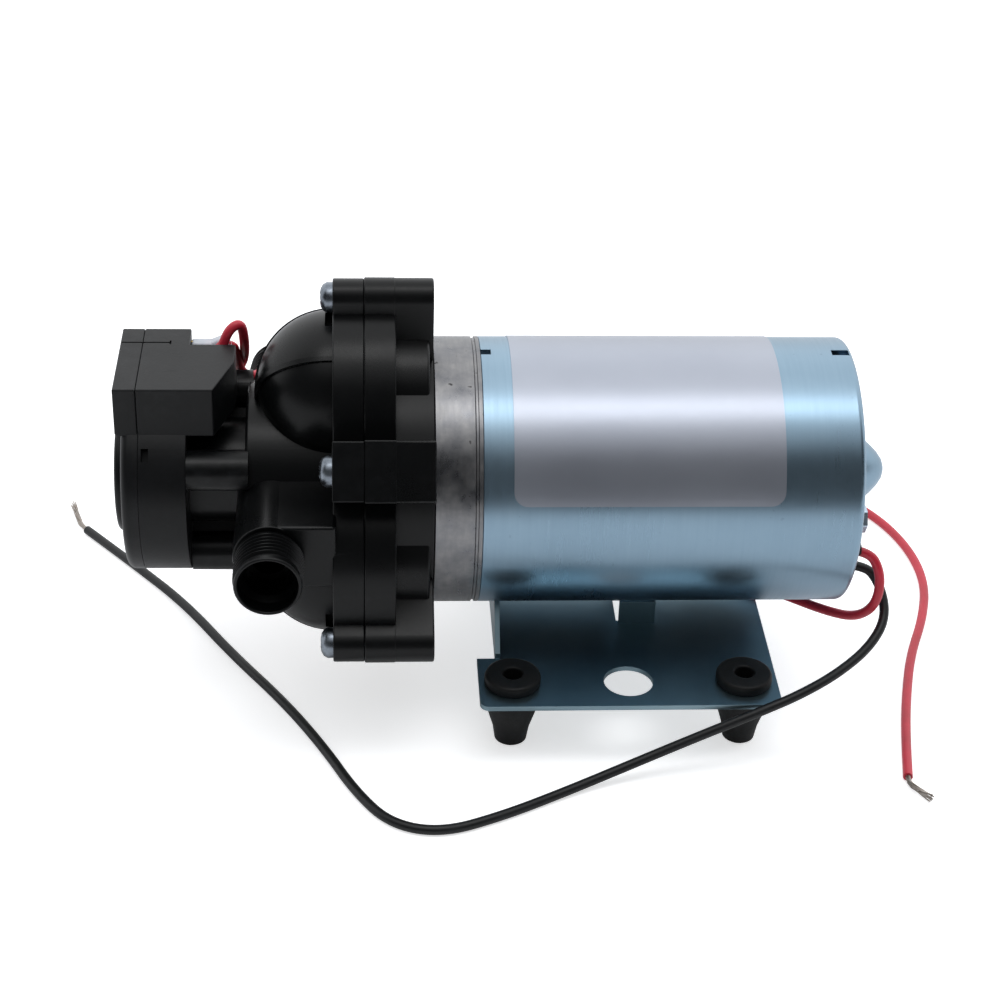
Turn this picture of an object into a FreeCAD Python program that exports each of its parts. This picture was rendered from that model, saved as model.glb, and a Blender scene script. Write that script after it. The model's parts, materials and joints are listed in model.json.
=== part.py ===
import FreeCAD, Part
import math
import os
import re
import Sketcher

# Delivery pump: a motor on a footed base plate drives a three-chamber diaphragm head
# that carries a pressure switch. X runs along the pump axis towards the motor's rear,
# +Z is up, and the origin is the centre of the four foot holes, on the resting plane.
# Pieces on the pump axis are drawn with that axis as X and lifted by axis_height.

sizes = {
    "axis_height": 64.0,
    # motor
    "can_radius": 38.2,
    "can_wall": 2.2,
    "can_front": -42.4,
    "can_rear": 63.2,
    "can_edge": 1.8,
    "can_slot": 3.0,
    "cap_inset": 0.4,
    "cap_thickness": 2.6,
    "dome_radius": 13.4,
    "dome_height": 13.5,
    "dome_wall": 2.4,
    "shaft_radius": 4.0,
    "shaft_front": -70.4,
    "shaft_rear": 72.2,
    "core_radius": 24.6,
    "core_front": -22.0,
    "core_rear": 28.0,
    "core_slots": 10,
    "slot_ring": 18.4,
    "slot_radius": 3.1,
    "turn_length": 8.0,
    "commutator_radius": 11.0,
    "commutator_front": 40.5,
    "commutator_rear": 53.5,
    "magnet_inner": 26.0,
    "magnet_front": -30.0,
    "magnet_rear": 36.0,
    "magnet_span": 112.0,
    "bolt_ring": 27.6,
    "bolt_radius": 2.0,
    "bolt_head_radius": 4.1,
    "bolt_head_height": 3.2,
    "bush_radius": 7.6,
    "bush_length": 8.0,
    "ball_bearing_radius": 11.0,
    "ball_bearing_width": 7.0,
    "grommet_ring": 28.2,
    "grommet_angle": -35.0,
    "grommet_radius": 3.2,
    "grommet_half": 5.6,
    "wire_exit_angle": 11.5,
    # drive end
    "flange_front": -55.6,
    "flange_bore": 9.2,
    "spigot_length": 4.0,
    "wobble_centre": -65.6,
    "wobble_tilt": 3.6,
    "journal_radius": 6.0,
    "cam_radius": 11.0,
    "wobble_bearing_radius": 14.0,
    "wobble_bearing_width": 8.0,
    "piston_ring": 21.0,
    "piston_radius": 10.4,
    # pump head
    "housing_split": -74.8,
    "head_front": -83.4,
    "lobe_ring": 23.4,
    "lobe_radius": 29.5,
    "lobe_rear": -66.2,
    "chamber_ring": 25.0,
    "chamber_radius": 20.2,
    "chamber_rear": -56.8,
    "barrel_radius": 38.6,
    "lug_ring": 54.9,
    "lug_radius": 5.6,
    "valley_reach": 52.0,
    "valley_screw_ring": 46.0,
    "valley_width": 8.4,
    "head_screw_radius": 2.2,
    "screw_head_radius": 4.25,
    "screw_head_height": 3.5,
    "recess_depth": 7.6,
    "recess_lobe": 17.6,
    "diaphragm_thickness": 2.0,
    "chamber_depth": 3.6,
    "valve_stem": 1.5,
    "inlet_valve_radius": 6.5,
    "inlet_valve_thickness": 0.6,
    "inlet_hole": 1.4,
    "inlet_hole_offset": 4.0,
    "outlet_hole": 1.2,
    "outlet_hole_ring": 10.2,
    "chamber_bore": 12.6,
    "drive_cavity": 31.0,
    "housing_floor": 2.5,
    "dome_ring": 27.0,
    "dome_radial": 21.0,
    "dome_axial": 23.4,
    "dome_flank": 14.0,
    "hub_radius": 25.0,
    "hub_front": -107.7,
    "port_centre": -100.4,
    "port_reach": 61.0,
    "port_radius": 9.5,
    "port_bore": 6.9,
    "port_shoulder": 47.0,
    "port_step": 0.5,
    "port_chamfer": 1.0,
    "manifold_height": 9.7,
    "inlet_depth": 17.0,
    "passage_radius": 5.0,
    "outlet_valve_radius": 12.5,
    "neck_radius": 15.0,
    "neck_front": -123.7,
    "neck_boss_ring": 23.2,
    "neck_boss_radius": 5.6,
    # pressure switch
    "switch_radius": 28.4,
    "switch_wall": 2.5,
    "cover_split": -136.9,
    "cover_front": -141.7,
    "switch_boss_radius": 17.5,
    "switch_boss_front": -144.5,
    "box_front": -143.2,
    "box_rear": -116.0,
    "box_tip": -110.9,
    "box_back": -123.8,
    "box_half": 18.2,
    "box_low": 21.2,
    "box_high": 35.8,
    "box_shelf": 8.6,
    "box_tip_half": 2.0,
    "switch_rear_wall": 3.0,
    "diaphragm_seat": 1.2,
    "switch_diaphragm_radius": 12.5,
    "plunger_radius": 8.0,
    "switch_travel": 0.8,
    "spring_radius": 4.2,
    "spring_length": 9.0,
    "seat_radius": 5.4,
    "set_screw_radius": 2.5,
    "button_height": 26.5,
    "case_depth": 8.0,
    "case_half": 16.0,
    "case_low": 24.5,
    "blade_thickness": 0.8,
    "blade_centre": 13.2,
    "blade_pitch": 4.8,
    "blade_low": 29.4,
    "blade_high": 33.0,
    "blade_end": -120.3,
    "boot_end": -116.6,
    "boot_front": -122.5,
    "boot_half": 1.9,
    "boot_margin": 2.2,
    "boot_grip": 3.4,
    # base plate and feet
    "plate_half_length": 42.6,
    "plate_half_width": 54.9,
    "plate_top": 19.5,
    "plate_thickness": 1.5,
    "plate_corner": 6.0,
    "plate_hole": 7.0,
    "plate_notch": 5.2,
    "notch_half": 31.8,
    "saddle_half": 20.0,
    "saddle_drop": 30.0,
    "tab_offset": 13.8,
    "tab_length": 10.6,
    "foot_spacing_x": 66.0,
    "foot_spacing_y": 86.4,
    "foot_bore": 2.6,
    "foot_flange": 8.0,
    "foot_crown": 2.2,
    "foot_neck": 5.5,
    "foot_shoulder": 8.2,
    "foot_tip": 5.0,
    "label_front": -34.0,
    "label_rear": 40.8,
    "label_thickness": 0.2,
    "label_gap": 0.02,
    "label_low": 15.0,
    "label_span": 120.0,
    "wire_radius": 1.4,
    # named fits
    "running_gap": 0.05,
    "slide_gap": 0.3,
    "seat_gap": 0.1,
}

document = FreeCAD.newDocument("DeliveryPump")
sheet = document.addObject("Spreadsheet::Sheet", "Sizes")
for row, (name, value) in enumerate(sizes.items(), start=1):
    sheet.set(f"A{row}", name)
    sheet.set(f"B{row}", str(value))
    sheet.setAlias(f"B{row}", name)
document.recompute()

nodes = []
chamber_angles = (90, 210, 330)
valley_angles = (30, 150, 270)
boss_angles = (30, 130, 210, 300)
switch_screw_angles = (30, 210, 300)


def bound(text):
    """The expression with every size name made a reference to its cell."""
    return re.sub(r"[a-z_]+", lambda word: "Sizes." + word[0] if word[0] in sizes else word[0], str(text))


def bind(item, prop, text):
    item.setExpression(prop, bound(text))


def lift(item, x="0"):
    bind(item, "Placement.Base.x", x)
    bind(item, "Placement.Base.z", "axis_height")
    return item


def keep(item, name):
    item.Label = name
    nodes.append(item)
    return item


def draw(body, plane_role, outline):
    """A closed sketch through the outline's points, each held by two bound distances."""
    sketch = body.newObject("Sketcher::SketchObject", body.Name + "_sketch")
    plane = next(f for f in body.Origin.OriginFeatures if f.Role == plane_role)
    sketch.AttachmentSupport = [(plane, "")]
    sketch.MapMode = "FlatFace"
    count = len(outline)
    start = [
        FreeCAD.Vector(10 * math.cos(2 * math.pi * i / count), 20 + 10 * math.sin(2 * math.pi * i / count), 0)
        for i in range(count)
    ]
    for i in range(count):
        sketch.addGeometry(Part.LineSegment(start[i], start[(i + 1) % count]))
    for i in range(count):
        sketch.addConstraint(Sketcher.Constraint("Coincident", i, 2, (i + 1) % count, 1))
    for i, (across, along) in enumerate(outline):
        for kind, text, now in (("DistanceX", across, start[i].x), ("DistanceY", along, start[i].y)):
            index = sketch.addConstraint(Sketcher.Constraint(kind, -1, 1, i, 1, now))
            sketch.setExpression(f"Constraints[{index}]", bound(text))
    return sketch


def turned(name, outline, upright=False):
    """A body turned about the pump axis, or about Z when it stands upright."""
    body = document.addObject("PartDesign::Body", name)
    sketch = draw(body, "XZ_Plane", outline)
    turn = body.newObject("PartDesign::Revolution", name + "_turn")
    turn.Profile = sketch
    turn.ReferenceAxis = (sketch, ["V_Axis" if upright else "H_Axis"])
    turn.Angle = 360
    return body


def slab(name, plane_role, outline, thickness, offset="0"):
    """A body padded from an outline along its plane's normal, starting at the offset."""
    body = document.addObject("PartDesign::Body", name)
    sketch = draw(body, plane_role, outline)
    bind(sketch, "AttachmentOffset.Base.z", offset)
    pad = body.newObject("PartDesign::Pad", name + "_pad")
    pad.Profile = sketch
    bind(pad, "Length", thickness)
    return body


def soften(body, radius, pick):
    """Rounds the edges of the body's last feature that pick chooses."""
    document.recompute()
    base = body.Tip
    edges = [f"Edge{i}" for i, edge in enumerate(base.Shape.Edges, start=1) if pick(edge)]
    fillet = body.newObject("PartDesign::Fillet", body.Name + "_fillet")
    fillet.Base = (base, edges)
    bind(fillet, "Radius", radius)
    return body


def circle_at(along, radius):
    """Chooses the round edges about the pump axis at one place."""
    def pick(edge):
        curve = edge.Curve
        return (
            isinstance(curve, Part.Circle)
            and abs(curve.Radius - radius) < 0.01
            and abs(curve.Center.x - along) < 0.01
        )
    return pick


def rod(x0, x1, radius, ring="0", angle="90"):
    """A cylinder along the pump axis, at an angle from the -Y side towards +Z."""
    item = document.addObject("Part::Cylinder", "Rod")
    item.Placement.Rotation = FreeCAD.Rotation(FreeCAD.Vector(0, 1, 0), 90)
    bind(item, "Radius", radius)
    bind(item, "Height", f"({x1}) - ({x0})")
    bind(item, "Placement.Base.x", x0)
    bind(item, "Placement.Base.y", f"-({ring}) * cos({angle})")
    bind(item, "Placement.Base.z", f"({ring}) * sin({angle})")
    return item


def cross_rod(x, y0, y1, radius, z="0"):
    item = document.addObject("Part::Cylinder", "CrossRod")
    item.Placement.Rotation = FreeCAD.Rotation(FreeCAD.Vector(1, 0, 0), -90)
    bind(item, "Radius", radius)
    bind(item, "Height", f"({y1}) - ({y0})")
    bind(item, "Placement.Base.x", x)
    bind(item, "Placement.Base.y", y0)
    bind(item, "Placement.Base.z", z)
    return item


def post(x, y, z0, z1, radius):
    item = document.addObject("Part::Cylinder", "Post")
    bind(item, "Radius", radius)
    bind(item, "Height", f"({z1}) - ({z0})")
    bind(item, "Placement.Base.x", x)
    bind(item, "Placement.Base.y", y)
    bind(item, "Placement.Base.z", z0)
    return item


def block(x0, x1, y0, y1, z0, z1):
    item = document.addObject("Part::Box", "Block")
    for prop, low, high in (("Length", x0, x1), ("Width", y0, y1), ("Height", z0, z1)):
        bind(item, prop, f"({high}) - ({low})")
    for axis, low in (("x", x0), ("y", y0), ("z", z0)):
        bind(item, "Placement.Base." + axis, low)
    return item


def arm(x0, x1, half_width, inner, outer, angle):
    """A box that reaches out from the pump axis at an angle from -Y towards +Z."""
    item = document.addObject("Part::Box", "Arm")
    item.Placement.Rotation = FreeCAD.Rotation(FreeCAD.Vector(1, 0, 0), 90 - angle)
    bind(item, "Length", f"({x1}) - ({x0})")
    bind(item, "Width", f"2 * ({half_width})")
    bind(item, "Height", f"({outer}) - ({inner})")
    bind(item, "Placement.Base.x", x0)
    bind(item, "Placement.Base.y", f"-({inner}) * cos({angle}) - ({half_width}) * sin({angle})")
    bind(item, "Placement.Base.z", f"({inner}) * sin({angle}) - ({half_width}) * cos({angle})")
    return item


def sector(x0, x1, inner, outer, middle, span):
    """Part of a tube about the pump axis, centred on an angle."""
    shells = []
    for radius, low, high in ((outer, x0, x1), (inner, f"{x0} - 1", f"{x1} + 1")):
        item = document.addObject("Part::Cylinder", "Sector")
        bind(item, "Radius", radius)
        bind(item, "Height", f"({high}) - ({low})")
        bind(item, "Angle", span)
        bind(item, "Placement.Base.x", low)
        shells.append(item)
    half = sizes.get(span, span) / 2
    turn = FreeCAD.Rotation(FreeCAD.Vector(1, 0, 0), 180 - middle - half)
    for item in shells:
        item.Placement.Rotation = turn.multiply(FreeCAD.Rotation(FreeCAD.Vector(0, 1, 0), 90)).multiply(
            FreeCAD.Rotation(FreeCAD.Vector(0, 0, 1), 90)
        )
    return less(*shells)


def join(*items):
    item = document.addObject("Part::MultiFuse", "Join")
    item.Shapes = list(items)
    item.Refine = True
    return item


def less(base, *tools):
    item = document.addObject("Part::Cut", "Less")
    item.Base = base
    item.Tool = tools[0] if len(tools) == 1 else join(*tools)
    return item


def meet(base, tool):
    item = document.addObject("Part::Common", "Meet")
    item.Base = base
    item.Tool = tool
    return item


def group(*items):
    item = document.addObject("Part::Compound", "Group")
    item.Links = list(items)
    return item


def make_can():
    tube = turned("can_tube", [
        ("can_front", "can_radius - can_wall"),
        ("can_front", "can_radius"),
        ("can_rear", "can_radius"),
        ("can_rear", "can_radius - can_wall"),
    ])
    soften(tube, "can_edge", circle_at(sizes["can_rear"], sizes["can_radius"]))
    slots = [
        arm("can_front - 1", "can_front + can_slot", "can_slot / 2", "can_radius - 5", "can_radius + 1", 90),
        arm("can_rear - 2 * can_slot", "can_rear + 1", "can_slot / 2", "can_radius - 5", "can_radius + 1", 90),
    ]
    keep(lift(less(tube, *slots)), "motor_can")


def make_end_cap():
    cap_face = "can_rear - cap_inset"
    dome = [(f"{cap_face} + dome_height * sin({a})", f"dome_radius * cos({a})") for a in (0, 15, 30, 45, 60, 75)]
    cap = turned("cap_shell", [
        (f"{cap_face} - cap_thickness", "bush_radius"),
        (f"{cap_face} - cap_thickness", "can_radius - can_wall"),
        (cap_face, "can_radius - can_wall"),
        *dome,
        (f"{cap_face} + dome_height", "0"),
        (f"{cap_face} + dome_height - dome_wall", "0"),
        (f"{cap_face} + dome_height - dome_wall", "shaft_radius + 0.6"),
        (f"{cap_face} - cap_thickness + bush_length", "bush_radius"),
    ])
    holes = [rod("can_rear - 6", "can_rear + 2", "bolt_radius + seat_gap", "bolt_ring", a) for a in (0, 180)]
    holes += [rod("can_rear - 6", "can_rear + 2", "wire_radius", *wire_exit(side)) for side in "+-"]
    keep(lift(less(cap, *holes)), "motor_end_cap")


def make_bolts():
    face = "can_rear - cap_inset"
    bolts = []
    for angle in (0, 180):
        head = document.addObject("Part::Prism", "BoltHead")
        head.Polygon = 6
        head.Placement.Rotation = FreeCAD.Rotation(FreeCAD.Vector(0, 1, 0), 90)
        bind(head, "Circumradius", "bolt_head_radius")
        bind(head, "Height", "bolt_head_height")
        bind(head, "Placement.Base.x", face)
        bind(head, "Placement.Base.y", f"-bolt_ring * cos({angle})")
        bolts.append(join(head, rod("flange_front + 3", face, "bolt_radius", "bolt_ring", angle)))
    keep(lift(group(*bolts)), "through_bolts")


def wire_exit(side):
    """The ring and angle at which one lead leaves the end cap."""
    return "grommet_ring", f"grommet_angle {side} wire_exit_angle"


def make_grommet():
    face = "can_rear - cap_inset"
    sleeve = join(
        arm(face, f"{face} + 2.2", "grommet_half", "grommet_ring - grommet_radius",
            "grommet_ring + grommet_radius", sizes["grommet_angle"]),
        *[rod(face, f"{face} + 2.2", "grommet_radius", *wire_exit(side)) for side in "+-"],
    )
    holes = [rod(f"{face} - 1", f"{face} + 4", "wire_radius", *wire_exit(side)) for side in "+-"]
    keep(lift(less(sleeve, *holes)), "cable_grommet")


def make_motor_inside():
    halves = [
        sector("magnet_front", "magnet_rear", "magnet_inner", "can_radius - can_wall", middle, "magnet_span")
        for middle in (90, 270)
    ]
    keep(lift(group(*halves)), "magnets")

    bush = turned("bush", [
        ("can_rear - cap_inset - cap_thickness", "shaft_radius + running_gap"),
        ("can_rear - cap_inset - cap_thickness", "bush_radius"),
        ("can_rear - cap_inset - cap_thickness + bush_length", "bush_radius"),
        ("can_rear - cap_inset - cap_thickness + bush_length", "shaft_radius + running_gap"),
    ])
    keep(lift(bush), "rear_bearing")

    seat_front = "can_front - 2 - ball_bearing_width"
    outer = turned("bearing_outer", [
        (seat_front, "0.8 * ball_bearing_radius"),
        (seat_front, "ball_bearing_radius"),
        (f"{seat_front} + ball_bearing_width", "ball_bearing_radius"),
        (f"{seat_front} + ball_bearing_width", "0.8 * ball_bearing_radius"),
        (f"{seat_front} + ball_bearing_width - 1", "shaft_radius + running_gap"),
        (f"{seat_front} + 1", "shaft_radius + running_gap"),
    ])
    keep(lift(outer), "front_bearing")

    shaft = turned("shaft_bar", [
        ("shaft_front", "0"),
        ("shaft_front", "shaft_radius - 0.5"),
        ("shaft_front + 0.5", "shaft_radius"),
        ("shaft_rear - 0.5", "shaft_radius"),
        ("shaft_rear", "shaft_radius - 0.5"),
        ("shaft_rear", "0"),
    ])
    keep(lift(shaft), "shaft")

    count = sizes["core_slots"]
    angles = [i * 360 / count for i in range(count)]
    stack = turned("core_stack", [
        ("core_front", "shaft_radius"),
        ("core_front", "core_radius"),
        ("core_rear", "core_radius"),
        ("core_rear", "shaft_radius"),
    ])
    cuts = [rod("core_front - 1", "core_rear + 1", "slot_radius", "slot_ring", a) for a in angles]
    cuts += [arm("core_front - 1", "core_rear + 1", "0.9", "slot_ring", "core_radius + 1", a) for a in angles]
    keep(lift(less(stack, *cuts)), "armature_core")

    ends = [
        turned(name, [
            (low, "shaft_radius + 3"),
            (low, "slot_ring + 1.5"),
            (f"{low} + 2", "slot_ring + 3.2"),
            (f"{low} + turn_length - 2", "slot_ring + 3.2"),
            (f"{low} + turn_length", "slot_ring + 1.5"),
            (f"{low} + turn_length", "shaft_radius + 3"),
        ])
        for name, low in (("front_turns", "core_front - turn_length"), ("rear_turns", "core_rear"))
    ]
    sides = [rod("core_front", "core_rear", "slot_radius - seat_gap", "slot_ring", a) for a in angles]
    keep(lift(join(*ends, *sides)), "windings")

    keep(lift(turned("commutator_ring", [
        ("commutator_front - 2.5", "shaft_radius"),
        ("commutator_front - 2.5", "commutator_radius + 2"),
        ("commutator_front", "commutator_radius + 2"),
        ("commutator_front", "commutator_radius"),
        ("commutator_rear", "commutator_radius"),
        ("commutator_rear", "shaft_radius"),
    ])), "commutator")


def make_brushes():
    front, rear = "commutator_front + 2.5", "commutator_rear - 2.5"
    disc = turned("brush_disc", [
        ("commutator_rear + 1", "commutator_radius + 4"),
        ("commutator_rear + 1", "can_radius - can_wall"),
        ("commutator_rear + 3", "can_radius - can_wall"),
        ("commutator_rear + 3", "commutator_radius + 4"),
    ])
    clear = [rod("commutator_rear", "commutator_rear + 4", "bolt_radius + slide_gap", "bolt_ring", a) for a in (0, 180)]
    boxes = [
        less(
            arm(f"{front} - 1.2", "commutator_rear + 1", "4.2", "commutator_radius + 2", "can_radius - 8", a),
            arm(front, rear, "3 + running_gap", "commutator_radius", "can_radius - 8.8", a),
        )
        for a in (90, 270)
    ]
    keep(lift(join(less(disc, *clear), *boxes)), "brush_plate")
    blocks = [
        arm(front, rear, "3", "commutator_radius + running_gap", "commutator_radius + 11", a) for a in (90, 270)
    ]
    keep(lift(group(*blocks)), "brushes")
    coils = []
    for a in (90, 270):
        low, high = "commutator_radius + 11", "can_radius - 8.8"
        coils.append(arm(f"{front} + 1", f"{rear} - 1", "2.2", low, high, a))
    keep(lift(group(*coils)), "brush_springs")


def make_drive_flange():
    seat_front = "can_front - 2 - ball_bearing_width"
    ring = turned("flange_ring", [
        ("flange_front", "flange_bore"),
        ("flange_front", "can_radius"),
        ("can_front", "can_radius"),
        ("can_front", "can_radius - can_wall"),
        ("can_front + spigot_length", "can_radius - can_wall"),
        ("can_front + spigot_length", "can_radius - can_wall - 2.5"),
        ("can_front - 2", "ball_bearing_radius + 6"),
        ("can_front - 2", "ball_bearing_radius"),
        (seat_front, "ball_bearing_radius"),
        (seat_front, "flange_bore"),
    ])
    holes = [rod("flange_front + 3", "can_front + 6", "bolt_radius", "bolt_ring", a) for a in (0, 180)]
    holes += [rod("flange_front - 1", "flange_front + 10", "1.8", "drive_cavity - 5", a) for a in chamber_angles]
    keep(lift(less(ring, *holes)), "drive_flange")


def outline_block(x0, x1, shrink="0"):
    """The three-lobed housing outline with its six screw lugs."""
    parts = [rod(x0, x1, f"lobe_radius - {shrink}", "lobe_ring", a) for a in chamber_angles]
    parts.append(rod(x0, x1, "barrel_radius - 4"))
    for a in chamber_angles:
        parts.append(arm(x0, x1, f"lug_radius - {shrink}", "lobe_ring", "lug_ring", a))
        parts.append(rod(x0, x1, f"lug_radius - {shrink}", "lug_ring", a))
    for a in valley_angles:
        parts.append(arm(x0, x1, f"valley_width - {shrink}", "20", "valley_reach", a))
    return parts


def screw_places():
    return [("lug_ring", a) for a in chamber_angles] + [("valley_screw_ring", a) for a in valley_angles]


def make_lower_housing():
    shell = join(
        *outline_block("housing_split", "lobe_rear"),
        rod("lobe_rear", "flange_front", "barrel_radius"),
        *[rod("lobe_rear", "chamber_rear", "chamber_radius", "chamber_ring", a) for a in chamber_angles],
        *[arm("lobe_rear", "flange_front", "lug_radius", "lobe_ring", "lug_ring", a) for a in chamber_angles],
        *[rod("lobe_rear", "flange_front", "lug_radius", "lug_ring", a) for a in chamber_angles],
        *[arm("lobe_rear", "flange_front", "valley_width", "20", "valley_reach", a) for a in valley_angles],
    )
    hollow = [rod("housing_split - 1", "flange_front - housing_floor", "drive_cavity")]
    hollow.append(rod("flange_front - housing_floor - 1", "flange_front + 1", "cam_radius + 2"))
    hollow += [
        rod("housing_split - 1", "housing_split + 6", "chamber_bore + 2", "piston_ring", a) for a in chamber_angles
    ]
    hollow += [
        rod("housing_split - 1", "flange_front + 1", "head_screw_radius", ring, a) for ring, a in screw_places()
    ]
    hollow += [
        rod("flange_front - housing_floor - 1", "flange_front + 1", "2 + seat_gap", "drive_cavity - 5", a)
        for a in chamber_angles
    ]
    keep(lift(less(shell, *hollow)), "lower_housing")


def make_flange_screws():
    floor = "flange_front - housing_floor"
    screws = [
        join(
            rod(f"{floor} - 1.8", floor, "3.4", "drive_cavity - 5", a),
            rod(floor, "flange_front + 8", "1.8", "drive_cavity - 5", a),
        )
        for a in chamber_angles
    ]
    keep(lift(group(*screws)), "flange_screws")


def recess_parts(x0, x1, gap):
    return [rod(x0, x1, f"recess_lobe - {gap}", "piston_ring", a) for a in chamber_angles] + [
        rod(x0, x1, f"piston_ring + 4 - {gap}")
    ]


def make_dome(angle):
    ball = document.addObject("Part::Ellipsoid", "DomeBall")
    ball.Placement.Rotation = FreeCAD.Rotation(FreeCAD.Vector(0, 1, 0), 90)
    bind(ball, "Radius1", "dome_axial")
    bind(ball, "Radius2", "dome_radial")
    bind(ball, "Radius3", "dome_radial")
    bind(ball, "Placement.Base.x", "head_front")
    bind(ball, "Placement.Base.y", f"-dome_ring * cos({angle})")
    bind(ball, "Placement.Base.z", f"dome_ring * sin({angle})")
    keeper = arm("head_front - dome_axial - 1", "head_front + 1", "dome_flank", "0", "dome_ring + dome_radial + 1", angle)
    return meet(ball, keeper)


def make_ports():
    """The two threaded sleeves, kept apart from the housing so that their bores stay open."""
    for side, name in ((-1, "inlet_port"), (1, "outlet_port")):
        ends = ("-port_reach", "-port_shoulder") if side < 0 else ("port_shoulder", "port_reach")
        sleeve = cross_rod("port_centre", *ends, "port_radius")
        bore = cross_rod("port_centre", f"{ends[0]} - 1", f"{ends[1]} + 1", "port_bore")
        keep(lift(less(sleeve, bore, port_mouth(side))), name)


def port_mouth(side):
    """The cone that chamfers one port's bore."""
    item = document.addObject("Part::Cone", "PortMouth")
    item.Placement.Rotation = FreeCAD.Rotation(FreeCAD.Vector(1, 0, 0), -90 * side)
    bind(item, "Radius1", "port_bore")
    bind(item, "Radius2", "port_bore + port_chamfer")
    bind(item, "Height", "port_chamfer")
    bind(item, "Placement.Base.x", "port_centre")
    bind(item, "Placement.Base.y", f"{side} * (port_reach - port_chamfer)")
    return item


def make_upper_housing():
    shell = join(
        *outline_block("head_front", "housing_split", "0.3"),
        rod("hub_front", "head_front", "hub_radius"),
        *[make_dome(a) for a in chamber_angles],
        block("port_centre", "head_front", "-port_shoulder", "port_shoulder", "-manifold_height", "manifold_height"),
        cross_rod("port_centre", "-port_shoulder", "port_shoulder", "port_radius + port_step"),
        rod("neck_front", "hub_front", "neck_radius"),
        *[rod("neck_front", "hub_front", "neck_boss_radius", "neck_boss_ring", a) for a in boss_angles],
    )
    recess_front = "housing_split - recess_depth"
    hollow = recess_parts(recess_front, "housing_split + 1", "0")
    hollow += [
        rod("head_front - 1", "housing_split + 1", "head_screw_radius + seat_gap", ring, a)
        for ring, a in screw_places()
    ]
    hollow.append(cross_rod("port_centre", "-port_shoulder - 1", "-inlet_depth", "passage_radius"))
    hollow.append(cross_rod("port_centre", "0", "port_shoulder + 1", "passage_radius"))
    hollow.append(rod("port_centre", f"{recess_front} + 1", "passage_radius", "inlet_depth + passage_radius", 0))
    hollow.append(rod("port_centre", f"{recess_front} + 1", "passage_radius"))
    hollow.append(rod(f"{recess_front} - 5", f"{recess_front} + 1", "outlet_valve_radius + 0.7"))
    hollow.append(rod("neck_front - 1", "port_centre", "passage_radius / 2"))
    hollow += [
        rod("neck_front - 1", "neck_front + 9", "1.5", "neck_boss_ring", a) for a in switch_screw_angles
    ]
    keep(lift(less(shell, *hollow)), "upper_housing")


def make_drive():
    """The inclined journal, its bearing and the plate that rocks the three pistons."""
    back = "flange_front - 1.6"
    hub = rod("wobble_centre + wobble_bearing_width / 2 + 0.5", back, "cam_radius - 1")
    tilted = document.addObject("Part::Cylinder", "Journal")
    tilt = FreeCAD.Rotation(FreeCAD.Vector(0, 1, 0), 90 + sizes["wobble_tilt"])
    tilted.Placement.Rotation = tilt
    bind(tilted, "Radius", "journal_radius")
    bind(tilted, "Height", "wobble_bearing_width + 2")
    bind(tilted, "Placement.Base.x", "wobble_centre - wobble_bearing_width / 2 * cos(wobble_tilt)")
    bind(tilted, "Placement.Base.z", "wobble_bearing_width / 2 * sin(wobble_tilt)")
    bore = rod("shaft_front - 2", "flange_front", "shaft_radius")
    keep(lift(less(join(hub, tilted), bore)), "cam")

    half = "wobble_bearing_width / 2"
    inner = turned("cam_race", [
        (f"-{half}", "journal_radius"),
        (f"-{half}", "journal_radius + 2.2"),
        (half, "journal_radius + 2.2"),
        (half, "journal_radius"),
    ])
    keep(tilt_about_centre(inner), "cam_bearing_inner")
    outer = turned("plate_race", [
        (f"-{half}", "wobble_bearing_radius - 2.2"),
        (f"-{half}", "wobble_bearing_radius"),
        (half, "wobble_bearing_radius"),
        (half, "wobble_bearing_radius - 2.2"),
    ])
    cage = turned("ball_cage", [
        (f"-{half} + 1", "journal_radius + 2.2 + running_gap"),
        (f"-{half} + 1", "wobble_bearing_radius - 2.2"),
        (f"{half} - 1", "wobble_bearing_radius - 2.2"),
        (f"{half} - 1", "journal_radius + 2.2 + running_gap"),
    ])
    keep(tilt_about_centre(join(outer, cage)), "cam_bearing_outer")

    post_front = "housing_split - wobble_centre"
    plate = join(
        rod(f"-{half} - 2", half, "wobble_bearing_radius + 3.5"),
        *[arm(f"-{half} - 2", "0", "5", "wobble_bearing_radius", "piston_ring", a) for a in chamber_angles],
        *[rod(post_front, "0", "5.5", "piston_ring", a) for a in chamber_angles],
    )
    holes = [
        rod(f"-{half}", f"{half} + 1", "wobble_bearing_radius"),
        rod(f"-{half} - 3", "0", "wobble_bearing_radius - 2"),
    ]
    holes += [rod(f"{post_front} - 1", f"{post_front} + 7", "1.5", "piston_ring", a) for a in chamber_angles]
    keep(tilt_about_centre(less(plate, *holes)), "wobble_plate")

    cap_front = f"{post_front} - diaphragm_thickness - 1"
    pistons = [
        less(
            join(
                rod(cap_front, f"{post_front} - diaphragm_thickness / 2", "piston_radius", "piston_ring", a),
                rod(cap_front, post_front, "0.8 * piston_radius", "piston_ring", a),
            ),
            rod(f"{cap_front} - 1", f"{post_front} + 1", "1.5", "piston_ring", a),
            rod(f"{cap_front} - 1", f"{cap_front} + 1.2", "3.2", "piston_ring", a),
        )
        for a in chamber_angles
    ]
    keep(tilt_about_centre(group(*pistons)), "pistons")
    screws = [
        join(
            rod(cap_front, f"{cap_front} + 1.2", "3.1", "piston_ring", a),
            rod(cap_front, f"{post_front} + 6", "1.5", "piston_ring", a),
        )
        for a in chamber_angles
    ]
    keep(tilt_about_centre(group(*screws)), "piston_screws")


def tilt_about_centre(item):
    lift(item, "wobble_centre")
    item.Placement.Rotation = FreeCAD.Rotation(FreeCAD.Vector(0, 1, 0), sizes["wobble_tilt"])
    return item


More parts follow.
